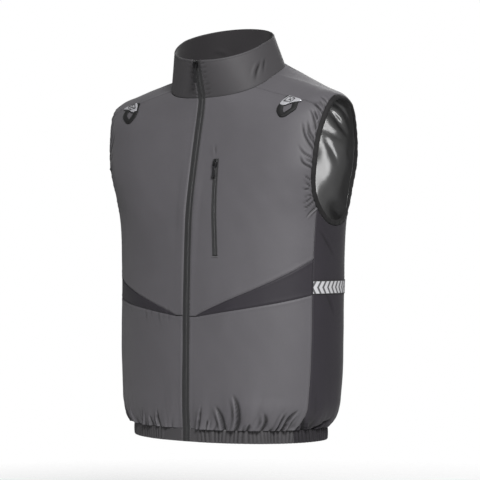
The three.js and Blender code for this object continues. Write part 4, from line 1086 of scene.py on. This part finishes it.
def back_lining():
    level = 3 * even(BACK_HEIGHT, 5.0)[:, None]
    edge = angle_moved(outer_edge(level, False), level, 0.2)
    angle = mix(edge, 2 * math.pi - edge, even(BACK_WIDTH, 4.6)[None, :])
    level = level + 0 * angle
    level[-1] = level_moved(angle[-1], level[-1], -4)
    lining_piece("lining_back", angle, level)


for side, flip in LEFT_AND_RIGHT:
    side_linings(side, flip)
back_lining()

# %% [markdown]
# ## Collar
#
# A stand collar is a double band sewn round the neck: grey outside, dark inside. It leans in a
# little towards its upper edge, creases at the sides of the neck, and puckers beside the zip.

# %% Collar and its facing
COLLAR_HALF_WIDTH = 88
COLLAR_FRONT = 111
COLLAR_BACK = 63
COLLAR_SIDE_HEIGHT = 62
COLLAR_FRONT_HEIGHT = 65
COLLAR_BACK_HEIGHT = 58
COLLAR_TILT = 6.5
COLLAR_THICKNESS = 1.6


def collar_section(t):
    side_x, side_y, _, front_y, front_z, back_y, back_z, square, _ = section_at(3 + 0 * t)
    return [
        mix(side_x, COLLAR_HALF_WIDTH, t), mix(side_y, (COLLAR_BACK - COLLAR_FRONT) / 2, t),
        COLLAR_SIDE_HEIGHT * t, mix(front_y, -COLLAR_FRONT, t), front_z + COLLAR_FRONT_HEIGHT * t,
        mix(back_y, COLLAR_BACK, t), back_z + COLLAR_BACK_HEIGHT * t, mix(square, 2.1, t), 1 + 0 * t,
    ]


def collar_surface(angle, t):
    points = on_section(collar_section(t), angle)
    points[..., 2] -= COLLAR_TILT * t * points[..., 0] / COLLAR_HALF_WIDTH
    return points


# knots are degrees from the centre front and shares of the height
COLLAR_FOLDS = [
    ([(58, 0.1), (64, 0.38), (74, 0.6)], 3.4, 1.8, 1),
    ([(70, 0.2), (76, 0.45), (82, 0.62)], 2.8, 1.3, 1),
    ([(-60, 0.15), (-66, 0.4), (-76, 0.6)], 3.2, 1.4, -1),
    ([(150, 0.1), (140, 0.35), (126, 0.5)], 4.0, 1.2, 1),
    ([(205, 0.1), (214, 0.35), (230, 0.5)], 4.0, 1.2, -1),
]
ZIP_PUCKERS = [0.08, 0.2, 0.34, 0.52, 0.66, 0.78, 0.9]


def collar_relief(points, normals):
    total = 0.5 * soft_waves(points)
    for knots, wide, high, side in COLLAR_FOLDS:
        line = through([(math.radians(a), b) for a, b in knots])
        total = total + fold(points, normals, collar_surface(line[:, 0], line[:, 1]), wide, high, side, True)
    for k, up in enumerate(ZIP_PUCKERS):
        for turn in (1, -1):
            line = through([(math.radians(turn * (13 + k % 3)), up + 0.04), (math.radians(turn * 5), up)], 5)
            total = total + fold(points, normals, collar_surface(line[:, 0], line[:, 1]), 1.6, 0.7, turn)
    return total


def collar_wall(node, slot, top, under, thick, pitch, finish=None):
    t = mix(0.004, top, spread(62, pitch)[:, None])
    section = collar_section(t)
    q = np.abs(ZIP_EDGE / section[0]) ** section[7]
    edge = np.arctan((q / (1 - q)) ** (1 / section[7]))
    angle = mix(edge, 2 * math.pi - edge, spread(560, pitch * 1.3)[None, :])
    t = t + 0 * angle
    points = collar_surface(angle, t)
    normals = normal_of(collar_surface, angle, t)
    from_left, from_right = lengths(points, 1)
    from_low, from_top = lengths(points, 0)
    out = collar_relief(points, normals)
    if under == 0:
        out = out + 0.2 * seam(from_low, from_left) + seam(from_left, from_low) + seam(from_right, from_low)
        out = out - 0.7 * np.exp(-((from_top / 0.8) ** 2)) - 0.22 * np.exp(-(((from_top - 4) / 0.6) ** 2))
    outer = raised(points, normals, out - under)
    inner = raised(points, normals, out - under - thick)
    piece = grid_object(f"{node}_cloth", outer, inner, np.stack([from_left, from_low], -1))
    paint_crease_shade(piece, out)
    dress(piece, node, slot, finish=finish)
    as_sheet(piece, points, ["back_panel"])
    made[node] = (outer, normals)


# the collar takes the darker copy of the shell cloth: painted shade
collar_wall("collar", "shell_cloth", 1.0, 0, COLLAR_THICKNESS, 2.2, "collar_cloth")
collar_wall("collar_facing", "collar_facing", 0.985, COLLAR_THICKNESS + 0.15, LINING, 3.4)

# %% [markdown]
# ## Elastic hem
#
# The hem is a tunnel of the same cloth with an elastic band inside, which draws it into narrow
# upright ribs of uneven width. Beside the zip the band is stitched flat. Ribs are a wave whose
# pitch drifts, sharpened so that the valleys are narrower than the crests.

# %% Hem bands
HEM_THICKNESS = 2.4


def hem_surface(angle, t):
    section = section_at(0 * t)
    z = mix(-BODY_LENGTH, HEM_TOP - 0.2, t)
    section[[2, 4, 6]] = z
    return on_section(section, angle)


def hem_ribs(run, t, flat_until):
    drift = 3.1 * np.sin(run / 31 + 1) + 1.9 * np.sin(run / 11.3) + 0.8 * np.sin(run / 4.7)
    lean = 2.4 * np.sin(run / 17) * (t - 0.5)
    depth = 0.5 + 0.5 * np.sin(run / 9.7 + 2 * np.sin(run / 37)) ** 2
    crest = 2.5 * (1 - depth * (1 - pleat((run + drift + lean) / 2.25) ** 1.6))
    start = np.clip((run - flat_until) / 9, 0, 1)
    return crest * start + 0.6 * (1 - start)


def hem_band(node, start, end, slot, flip, flat_until):
    ends = [hem_surface(np.array(at), np.array(0.5)) for at in (start, end)]
    s = spread(float(np.linalg.norm(ends[0] - ends[1])), 1.15)[None, :]
    t = spread(HEM_HEIGHT, 2.4)[:, None]
    angle = mix(start, end, s) + 0 * t
    t = t + 0 * s
    if flip:
        angle, t = -angle[:, ::-1], t[:, ::-1]
    points = hem_surface(angle, t)
    normals = normal_of(smooth_body, angle, 0 * t)
    normals[..., 2] = 0
    normals = unit(normals)
    from_left, from_right = lengths(points, 1)
    from_low, from_top = lengths(points, 0)
    run = from_right if flip else from_left
    ribs = hem_ribs(run, t, flat_until)
    swell = 0.7 * np.sin(math.pi * np.clip(t, 0, 1)) - 0.25 * np.exp(-((from_top / 1.0) ** 2))
    swell = swell - 0.9 * np.exp(-((from_low / 0.7) ** 2))
    for edge in (from_left, from_right):
        swell = swell - 0.6 * np.exp(-((edge / 0.9) ** 2))
    out = ribs + swell
    outer = raised(points, normals, out)
    inner = raised(points, normals, 0.4 * ribs - HEM_THICKNESS)
    piece = grid_object(f"{node}_cloth", outer, inner, np.stack([from_left, from_low], -1))
    paint_crease_shade(piece, ribs)
    # the bands take darker copies of their cloth: painted shade from the ribs and the shell above
    dress(piece, node, slot, finish="shaded_hem_cloth" if slot == "shell_cloth" else "shaded_hem_dark")
    as_sheet(piece, points, ["back_panel"], 1.12)
    made[node] = (outer, normals)


zero = np.array(0.0)
hem_zip = float(angle_at_x(ZIP_EDGE, zero))
hem_front = float(side_seam(zero, True))
hem_back = float(side_seam(zero, False))
for side, flip in LEFT_AND_RIGHT:
    hem_band(f"hem_front_{side}", hem_zip, hem_front, "shell_cloth", flip, 36 if flip else 14)
    hem_band(f"hem_side_{side}", hem_front, hem_back, "dark_cloth", flip, -20)
hem_band("hem_back", hem_back, 2 * math.pi - hem_back, "shell_cloth", False, -20)

# %% [markdown]
# ## Armhole binding
#
# The raw edge of the armhole is wrapped in a ribbed black tape. It is a rounded profile, run round
# the oval, that gives way a little where the cloth puckers.

# %% Bindings
# distance from the seam, and height over the cloth, once round the section
BINDING_PROFILE = [
    (0.2, 0.75), (1.6, 0.35), (2.4, 0.75), (4.6, 1.15), (7.2, 1.05), (8.5, 0.4),
    (9.0, -0.9), (8.8, -2.0), (7.6, -2.9), (5.0, -3.15), (2.0, -3.2), (0.2, -3.15),
]


def armhole_line(count):
    share = np.linspace(0, 1, count, endpoint=False)
    rise = mix(FRONT_SEAM_TOP, YOKE_LEVEL, share)
    over = mix(armhole_angle(YOKE_LEVEL, True), armhole_angle(YOKE_LEVEL, False), share)
    fall = mix(YOKE_LEVEL, BACK_SEAM_TOP, share)
    under = mix(armhole_angle(BACK_SEAM_TOP, False), armhole_angle(FRONT_SEAM_TOP, True), share)
    angle = np.concatenate([armhole_angle(rise, True), over, armhole_angle(fall, False), under])
    level = np.concatenate([rise, armhole_level(over, True), fall, armhole_level(under, False)])
    return angle, level


def tube_object(name, rows, flat_map, turned):
    """A ring-shaped tube: rows go round its section, columns all the way round its path."""
    count, columns = rows.shape[:2]
    index = np.arange(count * columns).reshape(count, columns)
    index = np.concatenate([index, index[:1]])
    index = np.concatenate([index, index[:, :1]], axis=1)
    quads = np.stack([index[:-1, :-1], index[:-1, 1:], index[1:, 1:], index[1:, :-1]], -1).reshape(-1, 4)
    if turned:
        quads = quads[:, ::-1]
    mesh = bpy.data.meshes.new(name)
    mesh.from_pydata((rows.reshape(-1, 3) * METRES).tolist(), [], quads.tolist())
    mesh.shade_smooth()
    values = flat_map.reshape(-1, 2)[quads.ravel()] * METRES
    mesh.uv_layers.new(name="cut").data.foreach_set("uv", values.ravel())
    return add_object(name, mesh)


def outward(piece):
    """Turns a closed mesh's faces outwards."""
    work = bmesh.new()
    work.from_mesh(piece.data)
    bmesh.ops.recalc_face_normals(work, faces=work.faces)
    work.to_mesh(piece.data)
    work.free()


def armhole_binding(side, flip):
    angle, level = armhole_line(int(72 / DETAIL))
    points = smooth_body(angle, level)
    out = cloth_normal(angle, level)
    run = unit(np.roll(points, -1, axis=0) - np.roll(points, 1, axis=0))
    across = unit(np.cross(run, out))
    step = np.linalg.norm(np.roll(points, -1, axis=0) - points, axis=1)
    along = np.concatenate([[0], np.cumsum(step)[:-1]])
    wave = 0.3 * np.sin(along / 3.1 + np.sin(along / 17)) + 0.15 * np.sin(along / 1.3)
    rows = []
    for near, high in BINDING_PROFILE:
        lift = high + (wave if high > 0.3 else 0.4 * wave)
        rows.append(points + across * near + out * lift[:, None])
    rows = np.stack(rows)
    around = np.cumsum([0] + [math.dist(a, b) for a, b in zip(BINDING_PROFILE, BINDING_PROFILE[1:])])
    flat_map = np.stack(np.broadcast_arrays(around[:, None], along[None, :]), -1)
    if flip:
        rows = rows * [-1, 1, 1]
    piece = tube_object(f"armhole_binding_{side}_tape", rows, flat_map, flip)
    outward(piece)
    dress(piece, f"armhole_binding_{side}", "binding")


for side, flip in LEFT_AND_RIGHT:
    armhole_binding(side, flip)

# %% [markdown]
# ## Front zip
#
# The zip runs from the hem to the top of the collar: two woven tapes, and between them the coil,
# whose teeth from the left and the right take turns. One strip of mesh, raised and notched by a
# wave, gives all the teeth without a thousand small solids.

# %% Zip tapes and coil
TOOTH = 2.0
POCKET_TOOTH = 1.7


def front_line(pitch):
    """Points up the middle of the front, with the direction out of the cloth at each."""
    low = hem_surface(np.zeros(2), np.array([0.0, 1.0]))
    level = 3 * np.linspace(1 / 60, 1, 60)
    body = smooth_body(0 * level, level)
    t = np.linspace(0.1, 1, 10)
    line = np.concatenate([low, body, collar_surface(0 * t, t)])
    line[:, 0] = 0
    run = np.concatenate([[0], np.cumsum(np.linalg.norm(np.diff(line, axis=0), axis=1))])
    at = np.arange(0, run[-1], pitch * DETAIL)
    points = np.stack([np.interp(at, run, line[:, k]) for k in range(3)], -1)
    soft = np.ones(9) / 9
    for k in (1, 2):
        points[4:-4, k] = np.convolve(points[:, k], soft, "valid")
    way = unit(np.gradient(points, axis=0))
    out = np.stack([0 * at, -way[:, 2], way[:, 1]], -1)
    return points, out, at


def strip_on_line(name, points, out, at, offsets, height, depth):
    """A strip along a line: offsets across it, a height for each point, and a flat underside."""
    across = np.array([1.0, 0, 0])
    base = points[:, None, :] + across * offsets[None, :, None]
    outer = base + out[:, None, :] * height[..., None]
    inner = base - out[:, None, :] * depth
    flat_map = np.stack(np.broadcast_arrays(offsets[None, :], at[:, None]), -1)
    return grid_object(name, outer, inner, flat_map)


def coil_teeth(at, offsets, pitch):
    """Share of the full height along a coil, whose teeth take turns left and right."""
    phase = 2 * math.pi * at[:, None] / pitch + np.where(offsets > 0, math.pi, 0)[None, :]
    return 0.62 + 0.38 * np.clip(1.6 * np.sin(phase), -1, 1)


def front_zip():
    points, out, at = front_line(2.4)
    for side, turn in (("left", 1), ("right", -1)):
        offsets = np.sort(turn * np.array([2.2, 2.6, 3.2, 4.6, 6.2, 7.6]))
        height = -0.45 + 0.1 * np.sin(at[:, None] / 4.1 + offsets[None, :]) * (np.abs(offsets) < 5)
        piece = strip_on_line(f"front_zip_tape_{side}_cloth", points, out, at, offsets, height, 0.95)
        dress(piece, f"front_zip_tape_{side}", "zip_tape")
    points, out, at = front_line(0.5)
    offsets = np.array([-2.4, -2.1, -1.3, -0.55, -0.05, 0.05, 0.55, 1.3, 2.1, 2.4])
    crown = np.array([0.0, 0.55, 0.95, 0.9, 0.55, 0.55, 0.9, 0.95, 0.55, 0.0])
    height = crown * coil_teeth(at, offsets, TOOTH) - 0.15
    piece = strip_on_line("front_zip_coil", points, out, at, offsets, height, 0.8)
    dress(piece, "front_zip_chain", "zip_chain")
    print("front zip", round(float(at[-1])), "mm,", int(at[-1] / TOOTH), "teeth a side")


front_zip()

# %% [markdown]
# ## Chest pocket zip
#
# The pocket closes with a narrow zip set into a slit. It follows the cloth, leaning outwards
# towards its lower end, where a dense bar of stitches keeps the slit from tearing.

# %% Pocket zip and bar tack
POCKET_TOP = -152
POCKET_LENGTH = 169
POCKET_LOW = POCKET_TOP - POCKET_LENGTH
POCKET_X = 48
POCKET_LEAN = 10


def pocket_surface(across, z, lift):
    """Points above the shell beside the pocket zip."""
    share = (z - POCKET_LOW) / POCKET_LENGTH
    x = POCKET_X + across + POCKET_LEAN * (1 - share)
    level = level_at_height(x, z)
    angle = angle_at_x(x, level)
    points = smooth_body(angle, level)
    normals = cloth_normal(angle, level)
    return raised(points, normals, relief(points, normals, angle) + lift)


def pocket_strip(name, across, z, lift, thick):
    grid_x, grid_z = np.meshgrid(across, z)
    outer = pocket_surface(grid_x, grid_z, lift)
    inner = pocket_surface(grid_x, grid_z, 0 * grid_x + thick)
    return grid_object(name, outer, inner, np.stack([grid_x + 20, grid_z - POCKET_LOW], -1))


def pocket_zip():
    across = np.array([-5, -4.6, -4.1, -3.4, -2.4, -1.2, 1.2, 2.4, 3.4, 4.1, 4.6, 5.0])
    z = np.linspace(POCKET_LOW, POCKET_TOP, int(70 / DETAIL))
    welt = 0.55 + 0.75 * np.exp(-(((np.abs(across) - 4.0) / 0.8) ** 2)) - 0.35 * (np.abs(across) > 4.8)
    lift = welt[None, :] + 0.12 * np.sin(z / 2.7)[:, None] * (np.abs(across) > 3)
    piece = pocket_strip("pocket_zip_tape_cloth", across, z, lift, 0.2)
    dress(piece, "pocket_zip_tape", "zip_tape")

    across = np.array([-1.5, -1.3, -0.8, -0.3, -0.03, 0.03, 0.3, 0.8, 1.3, 1.5])
    crown = np.array([0.0, 0.5, 0.85, 0.8, 0.5, 0.5, 0.8, 0.85, 0.5, 0.0])
    z = np.arange(POCKET_LOW + 1.5, POCKET_TOP - 1.5, 0.42 * DETAIL)
    lift = 0.75 + crown * coil_teeth(z, across, POCKET_TOOTH)
    piece = pocket_strip("pocket_zip_coil", across, z, lift, 0.6)
    dress(piece, "pocket_zip_chain", "zip_chain")

    across = np.linspace(-6, 6, 61)
    z = POCKET_LOW - 0.4 - np.array([2.2, 2.0, 1.5, 0.7, 0.2, 0.0])
    crown = np.array([0.25, 0.7, 0.95, 0.95, 0.7, 0.25])
    lift = 0.35 + crown[:, None] * (0.75 + 0.25 * np.sin(across * 5.2))[None, :]
    piece = pocket_strip("pocket_bar_tack_thread", across, z, lift, 0.2)
    dress(piece, "pocket_bar_tack", "shell_cloth", finish="thread")
    print("pocket zip", POCKET_LENGTH, "mm")


pocket_zip()

# %% [markdown]
# ## Sliders and pulls
#
# The sliders are painted die castings and the pulls are moulded. Their CAD forms are right but
# sharp. A copy with its flat faces merged takes a small bevel on every edge, which is what makes a
# hard piece catch the light.

# %% Rounded copies of the hard pieces
def rounded(node, slot, body, width):
    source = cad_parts[node]
    mesh = source.data.copy()
    work = bmesh.new()
    work.from_mesh(mesh)
    bmesh.ops.transform(work, matrix=source.matrix_world, verts=work.verts)
    bmesh.ops.remove_doubles(work, verts=work.verts, dist=1e-6)
    bmesh.ops.dissolve_limit(work, angle_limit=0.02, verts=work.verts, edges=work.edges)
    work.to_mesh(mesh)
    work.free()
    piece = add_object(f"{node}_rounded", mesh)
    bevel = piece.modifiers.new("rounding", "BEVEL")
    bevel.width = width
    bevel.segments = 3
    bevel.limit_method = "ANGLE"
    bevel.angle_limit = 0.5
    bevel.harden_normals = False
    mesh.shade_smooth()
    dress(piece, node, slot, body)
    low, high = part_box(node)
    print(piece.name, [round((b - a) * 1000, 1) for a, b in zip(low, high)], "mm")


rounded("front_zip_slider", "slider", "vest", 0.0004)
rounded("pocket_zip_slider", "slider", "vest", 0.0004)
rounded("front_zip_pull", "pull", "front_pull", 0.00035)
rounded("pocket_zip_pull", "pull", "pocket_pull", 0.00035)

# %% [markdown]
# ## Reflective strips
#
# A strip of bright arrowheads runs round each side panel. It is printed tape, so it is modelled as
# a thin sheet just above the cloth, and the arrowheads come from its finish.

# %% Strips on the side panels
STRIP_DROP = 387
STRIP_HEIGHT = 24
STRIP_WIDTH = 112


def strip_piece(side, flip):
    rows = spread(STRIP_HEIGHT, 2.6)[:, None]
    s = spread(STRIP_WIDTH, 2.6)[None, :]
    level = torso_level(mix(-STRIP_DROP, -STRIP_DROP + STRIP_HEIGHT, rows)) + 0 * s
    angle = mix(side_seam(level, True), side_seam(level, False), mix(0.004, 0.996, s))
    across = lengths(smooth_body(angle, level), 1)[0]
    if flip:
        angle, level, across = -angle[:, ::-1], level[:, ::-1], across[:, ::-1]
    points = smooth_body(angle, level)
    normals = cloth_normal(angle, level)
    out = relief(points, normals, angle)
    rim = np.minimum(np.minimum(*lengths(points, 0)), 3)
    outer = raised(points, normals, out + 0.75 + 0.3 * (1 - np.exp(-rim)))
    inner = raised(points, normals, out + 0.35)
    up = lengths(points, 0)[0]
    piece = grid_object(f"reflective_strip_{side}_tape", outer, inner, np.stack([across, up], -1))
    dress(piece, f"reflective_strip_{side}", "reflective")
    as_sheet(piece, points, [f"side_panel_{side}"], 1.0)
    made[f"strip_{side}"] = (outer, normals)


for side, flip in LEFT_AND_RIGHT:
    strip_piece(side, flip)

# %% [markdown]
# ## Shoulder loops and tabs
#
# In the yoke seam of each shoulder sits a webbing loop, flat on the cloth, with a short bright tab
# over it. Both follow the cloth below them. Their outlines are short tables of distances along the
# seam and down the front, smoothed into curves. The tab is bare, with a plain box stitch.

# %% Loops and tabs
LOOP_OUTLINE = [
    (6, 1), (-18, 1), (-12, 15), (0, 31), (17, 43), (33, 47), (37, 42), (34, 33), (29, 22), (18, 12),
]
# down from the seam, and the two ends of the row
TAB_ROWS = [
    (1, -14, 8), (4.5, -14, 17), (9, -13, 14), (15, -10.5, 10), (20, -7, 9), (25, -3.5, 9), (28, 1, 7),
]
LOOP_LEVEL = 2.35
LOOP_START = float(yoke_seam((LOOP_LEVEL - YOKE_LEVEL) / (3 - YOKE_LEVEL), True))


def beside_yoke(away, down, height, flip):
    level = level_moved(LOOP_START, LOOP_LEVEL + 0 * away, -away)
    angle = angle_moved(LOOP_START + 0 * away, level, -down)
    if flip:
        angle = -angle
    points = smooth_body(angle, level)
    normals = cloth_normal(angle, level)
    return raised(points, normals, relief(points, normals, angle) + height)


def shoulder_loop(side, flip):
    knots = LOOP_OUTLINE + LOOP_OUTLINE[:1]
    line = through(knots, int(121 / DETAIL))[:-1]
    run = unit(np.roll(line, -1, axis=0) - np.roll(line, 1, axis=0))
    inwards = np.stack([run[:, 1], -run[:, 0]], -1)
    across = 1.3 * np.array([0, 0.3, 0.9, 1.8, 3.0, 4.2, 5.1, 5.7, 6.0])[:, None]
    crown = 0.35 + 1.9 * (1 - np.abs(across / 3.9 - 1) ** 4) + 0.3 * np.cos(across * math.pi / 1.95)
    flat = line[None, :, :] + inwards[None, :, :] * across[..., None]
    ripple = 0.35 * np.sin(np.arange(len(line)) / 4.3)[None, :]
    high = 0.8 + crown + ripple * (across > 0.5) + 0 * flat[..., 0]
    outer = beside_yoke(flat[..., 0], flat[..., 1], high, flip)
    inner = beside_yoke(flat[..., 0], flat[..., 1], 0.5 + 0 * high, flip)
    along = lengths(outer, 1)[0]
    flat_map = np.stack([across + 0 * along, along], -1)
    piece = grid_object(f"shoulder_loop_{side}_webbing", outer, inner, flat_map, True)
    outward(piece)
    dress(piece, f"shoulder_loop_{side}", "loop_webbing")


def shoulder_tab(side, flip):
    table = through(TAB_ROWS, int(26 / DETAIL))
    s = spread(20, 1.2)[None, :]
    away = mix(table[:, 1:2], table[:, 2:3], s)
    down = table[:, :1] + 0 * s
    rim = np.minimum(s, 1 - s) * 18
    tip = np.minimum(np.arange(len(table)), len(table) - 1 - np.arange(len(table)))[:, None] * 1.1
    rim = np.minimum(rim, tip)
    puff = 0.9 * (1 - np.exp(-rim / 1.2)) + 0.5 * np.sin(down / 4.5) * (rim > 0.5)
    outer = beside_yoke(away, down, 3.3 + puff, flip)
    inner = beside_yoke(away, down, 2.75 + 0 * puff, flip)
    flat_map = np.stack([away + 20, down], -1)
    piece = grid_object(f"shoulder_tab_{side}_cloth", outer, inner, flat_map)
    outward(piece)
    dress(piece, f"shoulder_tab_{side}", "silver_tab")


for side, flip in LEFT_AND_RIGHT:
    shoulder_loop(side, flip)
    shoulder_tab(side, flip)

# %% [markdown]
# ## Stitches
#
# Topstitching is what tells sewn cloth from moulded plastic. Each stitch is a small pod of thread
# that sinks into the cloth at both ends. The lines follow grid lines of the finished panels, two
# millimetres from their seams, so every stitch lies on the cloth that it holds.

# %% Stitch lines
SIDES = 5
STITCH_LINE = 4
pods = {"thread": [], "dark_thread": []}


def stitch(kind, line, normals, length=2.5, gap=1.0, radius=0.3, lift=0.1):
    """Adds pods along a line of points."""
    run = np.concatenate([[0], np.cumsum(np.linalg.norm(np.diff(line, axis=0), axis=1))])
    middles = np.arange(length / 2 + 0.6, run[-1] - length / 2, (length + gap) * DETAIL)
    if len(middles) == 0:
        return

    def at(values, where):
        return np.stack([np.interp(where, run, values[:, k]) for k in range(3)], -1)

    centre = at(line, middles)
    way = unit(at(line, middles + length / 2) - at(line, middles - length / 2))
    up = unit(at(normals, middles))
    side = unit(np.cross(way, up))
    rings = []
    for share, size, sink in ((-0.5, 0.35, -0.25), (-0.25, 1, 0), (0.25, 1, 0), (0.5, 0.35, -0.25)):
        for k in range(SIDES):
            turn = 2 * math.pi * k / SIDES
            spot = centre + way * (share * length) + up * (lift + sink + radius * size * math.cos(turn))
            rings.append(spot + side * (radius * size * math.sin(turn)))
    pods[kind].append(np.stack(rings, 1))


def stitch_object(kind, name):
    verts = np.concatenate(pods[kind])
    count, each = verts.shape[:2]
    quads = []
    for ring in range(3):
        for k in range(SIDES):
            a, b = ring * SIDES + k, ring * SIDES + (k + 1) % SIDES
            quads.append((a, a + SIDES, b + SIDES, b))
    ends = [tuple(range(SIDES)), tuple(3 * SIDES + k for k in reversed(range(SIDES)))]
    start = (np.arange(count) * each)[:, None]
    faces = []
    for face in quads + ends:
        faces += (start + np.array(face)[None, :]).tolist()
    mesh = bpy.data.meshes.new(name)
    mesh.from_pydata((verts.reshape(-1, 3) * METRES).tolist(), [], faces)
    mesh.shade_smooth()
    mesh.uv_layers.new(name="cut")
    piece = add_object(name, mesh)
    outward(piece)
    dress(piece, None, "shell_cloth", finish=kind)
    print(name, count, "stitches")


def edge_stitches(node, where, kind="thread"):
    """Stitches along a panel's edge: l, r, b or t, at the grid line two millimetres in."""
    grid, normals = made[node]
    for key in where:
        line = STITCH_LINE if key in "lb" else -1 - STITCH_LINE
        pick = np.s_[:, line] if key in "lr" else np.s_[line, :]
        stitch(kind, grid[pick], normals[pick])


for side, flip in LEFT_AND_RIGHT:
    zip_side, outer_side = ("r", "l") if flip else ("l", "r")
    edge_stitches(f"front_lower_{side}", zip_side + outer_side)
    edge_stitches(f"front_upper_{side}", zip_side + outer_side + "b")
    edge_stitches(f"hem_front_{side}", zip_side)
    edge_stitches(f"yoke_{side}", "lrb")
    edge_stitches(f"side_panel_{side}", "t", "dark_thread")
    grid, normals = made[f"strip_{side}"]
    stitch("dark_thread", grid[1], normals[1])
    stitch("dark_thread", grid[-2], normals[-2])
edge_stitches("back_panel", "lr")
edge_stitches("collar", "lrt")


def tab_stitches(flip):
    """A plain box with a cross, in dark thread."""
    box = [(-10, 3.5), (4.5, 5), (8.5, 17), (-5, 19), (-10, 3.5)]
    for a, b in list(zip(box, box[1:])) + [(box[0], box[2]), (box[1], box[3])]:
        t = np.linspace(0, 1, 9)
        away, down = mix(a[0], b[0], t), mix(a[1], b[1], t)
        points = beside_yoke(away, down, 4.35 + 0.5 * np.sin(down / 4.5), flip)
        above = beside_yoke(away, down, 5.35 + 0.5 * np.sin(down / 4.5), flip)
        stitch("dark_thread", points, above - points, 2.0, 0.3, 0.8, 0.05)


for _, flip in LEFT_AND_RIGHT:
    tab_stitches(flip)
stitch_object("thread", "topstitching")
stitch_object("dark_thread", "dark_topstitching")

# %% [markdown]
# ## Floor, light and camera
#
# The vest is shown in its worn form over a plain pale floor that fades out before a white ground. A
# large soft light stands above and a little to the right of the camera, a weak one fills from the
# vest's left as worn, and one behind draws the far edges. Two small lights in the hollow, hidden
# from the camera, draw the streaks in the lining. The camera stands 35 degrees to the vest's left
# as worn, level with its middle, with a long lens.

# %% Stage
def stage_floor():
    bpy.ops.mesh.primitive_circle_add(vertices=96, radius=3.0, fill_type="NGON", location=(0, 0, -0.9))
    floor = bpy.context.object
    floor.name = "floor"
    finish = Finish("floor_finish", Roughness=0.9)
    place = finish.node("ShaderNodeTexCoord", None, None, "Object")
    far = finish.node("ShaderNodeVectorMath", {"operation": "LENGTH"}, {0: place}, "Value")
    fade = ((1.9 - far) / 1.3).smaller(1.0)
    grain = finish.noise(40, 3.0)
    tint = finish.blend(grain, (0.86, 0.86, 0.86), (0.9, 0.9, 0.9))
    finish.set(Base_Color=tint, Alpha=fade)
    floor.data.materials.append(finish.material)
    floor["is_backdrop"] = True


def soft_light(name, azimuth, elevation, distance, size, power):
    data = bpy.data.lights.new(name, "AREA")
    data.energy = power
    data.size = size
    light = add_object(name, data)
    a, e = math.radians(azimuth), math.radians(elevation)
    place = Vector((math.sin(a) * math.cos(e), -math.cos(a) * math.cos(e), math.sin(e))) * distance
    light.location = place + Vector((0, 0, -0.3))
    light.rotation_euler = (-place).to_track_quat("-Z", "Y").to_euler()


def glancing_light(name, place, size, power):
    """A small light in the hollow of the vest, hidden from the camera, for the lining's streaks."""
    data = bpy.data.lights.new(name, "AREA")
    data.shape = "RECTANGLE"
    data.size, data.size_y = size
    data.energy = power
    light = add_object(name, data)
    light.location = place
    light.rotation_euler = Vector((1, 0.05, 0)).to_track_quat("-Z", "Y").to_euler()
    light.visible_camera = False


def studio():
    world = bpy.data.worlds.new("studio")
    world.use_nodes = True
    tree = world.node_tree
    back = tree.nodes["Background"]
    back.inputs["Color"].default_value = (1, 1, 1, 1)
    seen = tree.nodes.new("ShaderNodeLightPath")
    level = tree.nodes.new("ShaderNodeMapRange")
    level.inputs["To Min"].default_value = 0.21
    level.inputs["To Max"].default_value = 1.0
    tree.links.new(seen.outputs["Is Camera Ray"], level.inputs["Value"])
    tree.links.new(level.outputs[0], back.inputs["Strength"])
    bpy.context.scene.world = world
    soft_light("key", 45, 33, 3.2, 1.0, 133)
    soft_light("front", 70, 2, 3.4, 1.6, 5)
    soft_light("back", 205, 24, 3.0, 1.6, 28)
    glancing_light("far_armhole", (-0.1, -0.07, -0.185), (0.03, 0.12), 0.2)
    glancing_light("neck", (-0.03, -0.03, -0.04), (0.07, 0.07), 0.09)


stage_floor()
studio()

CAMERA_TURN = math.radians(35)
CAMERA_DISTANCE = 3.5
CAMERA_HEIGHT = -0.2933
camera_data = bpy.data.cameras.new("camera")
camera_data.lens = 145.83
camera_data.sensor_width = 36
camera_data.shift_x = 8 / 480
camera = add_object("camera", camera_data)
camera.location = (
    CAMERA_DISTANCE * math.sin(CAMERA_TURN), -CAMERA_DISTANCE * math.cos(CAMERA_TURN), CAMERA_HEIGHT,
)
camera.rotation_euler = (RIGHT_ANGLE, 0, CAMERA_TURN)
bpy.context.scene.camera = camera
bpy.context.scene.view_settings.view_transform = "Standard"
lights = [thing.name for thing in bpy.data.objects if thing.type == "LIGHT"]
print("lights", lights, "camera at", [round(k, 3) for k in camera.location])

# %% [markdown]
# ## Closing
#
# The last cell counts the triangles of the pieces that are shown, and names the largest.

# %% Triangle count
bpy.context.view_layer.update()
faces = {o.name: sum(len(p.vertices) - 2 for p in o.data.polygons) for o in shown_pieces() if o.type == "MESH"}
print("triangles", sum(faces.values()), "largest", max(faces.items(), key=lambda item: item[1]))
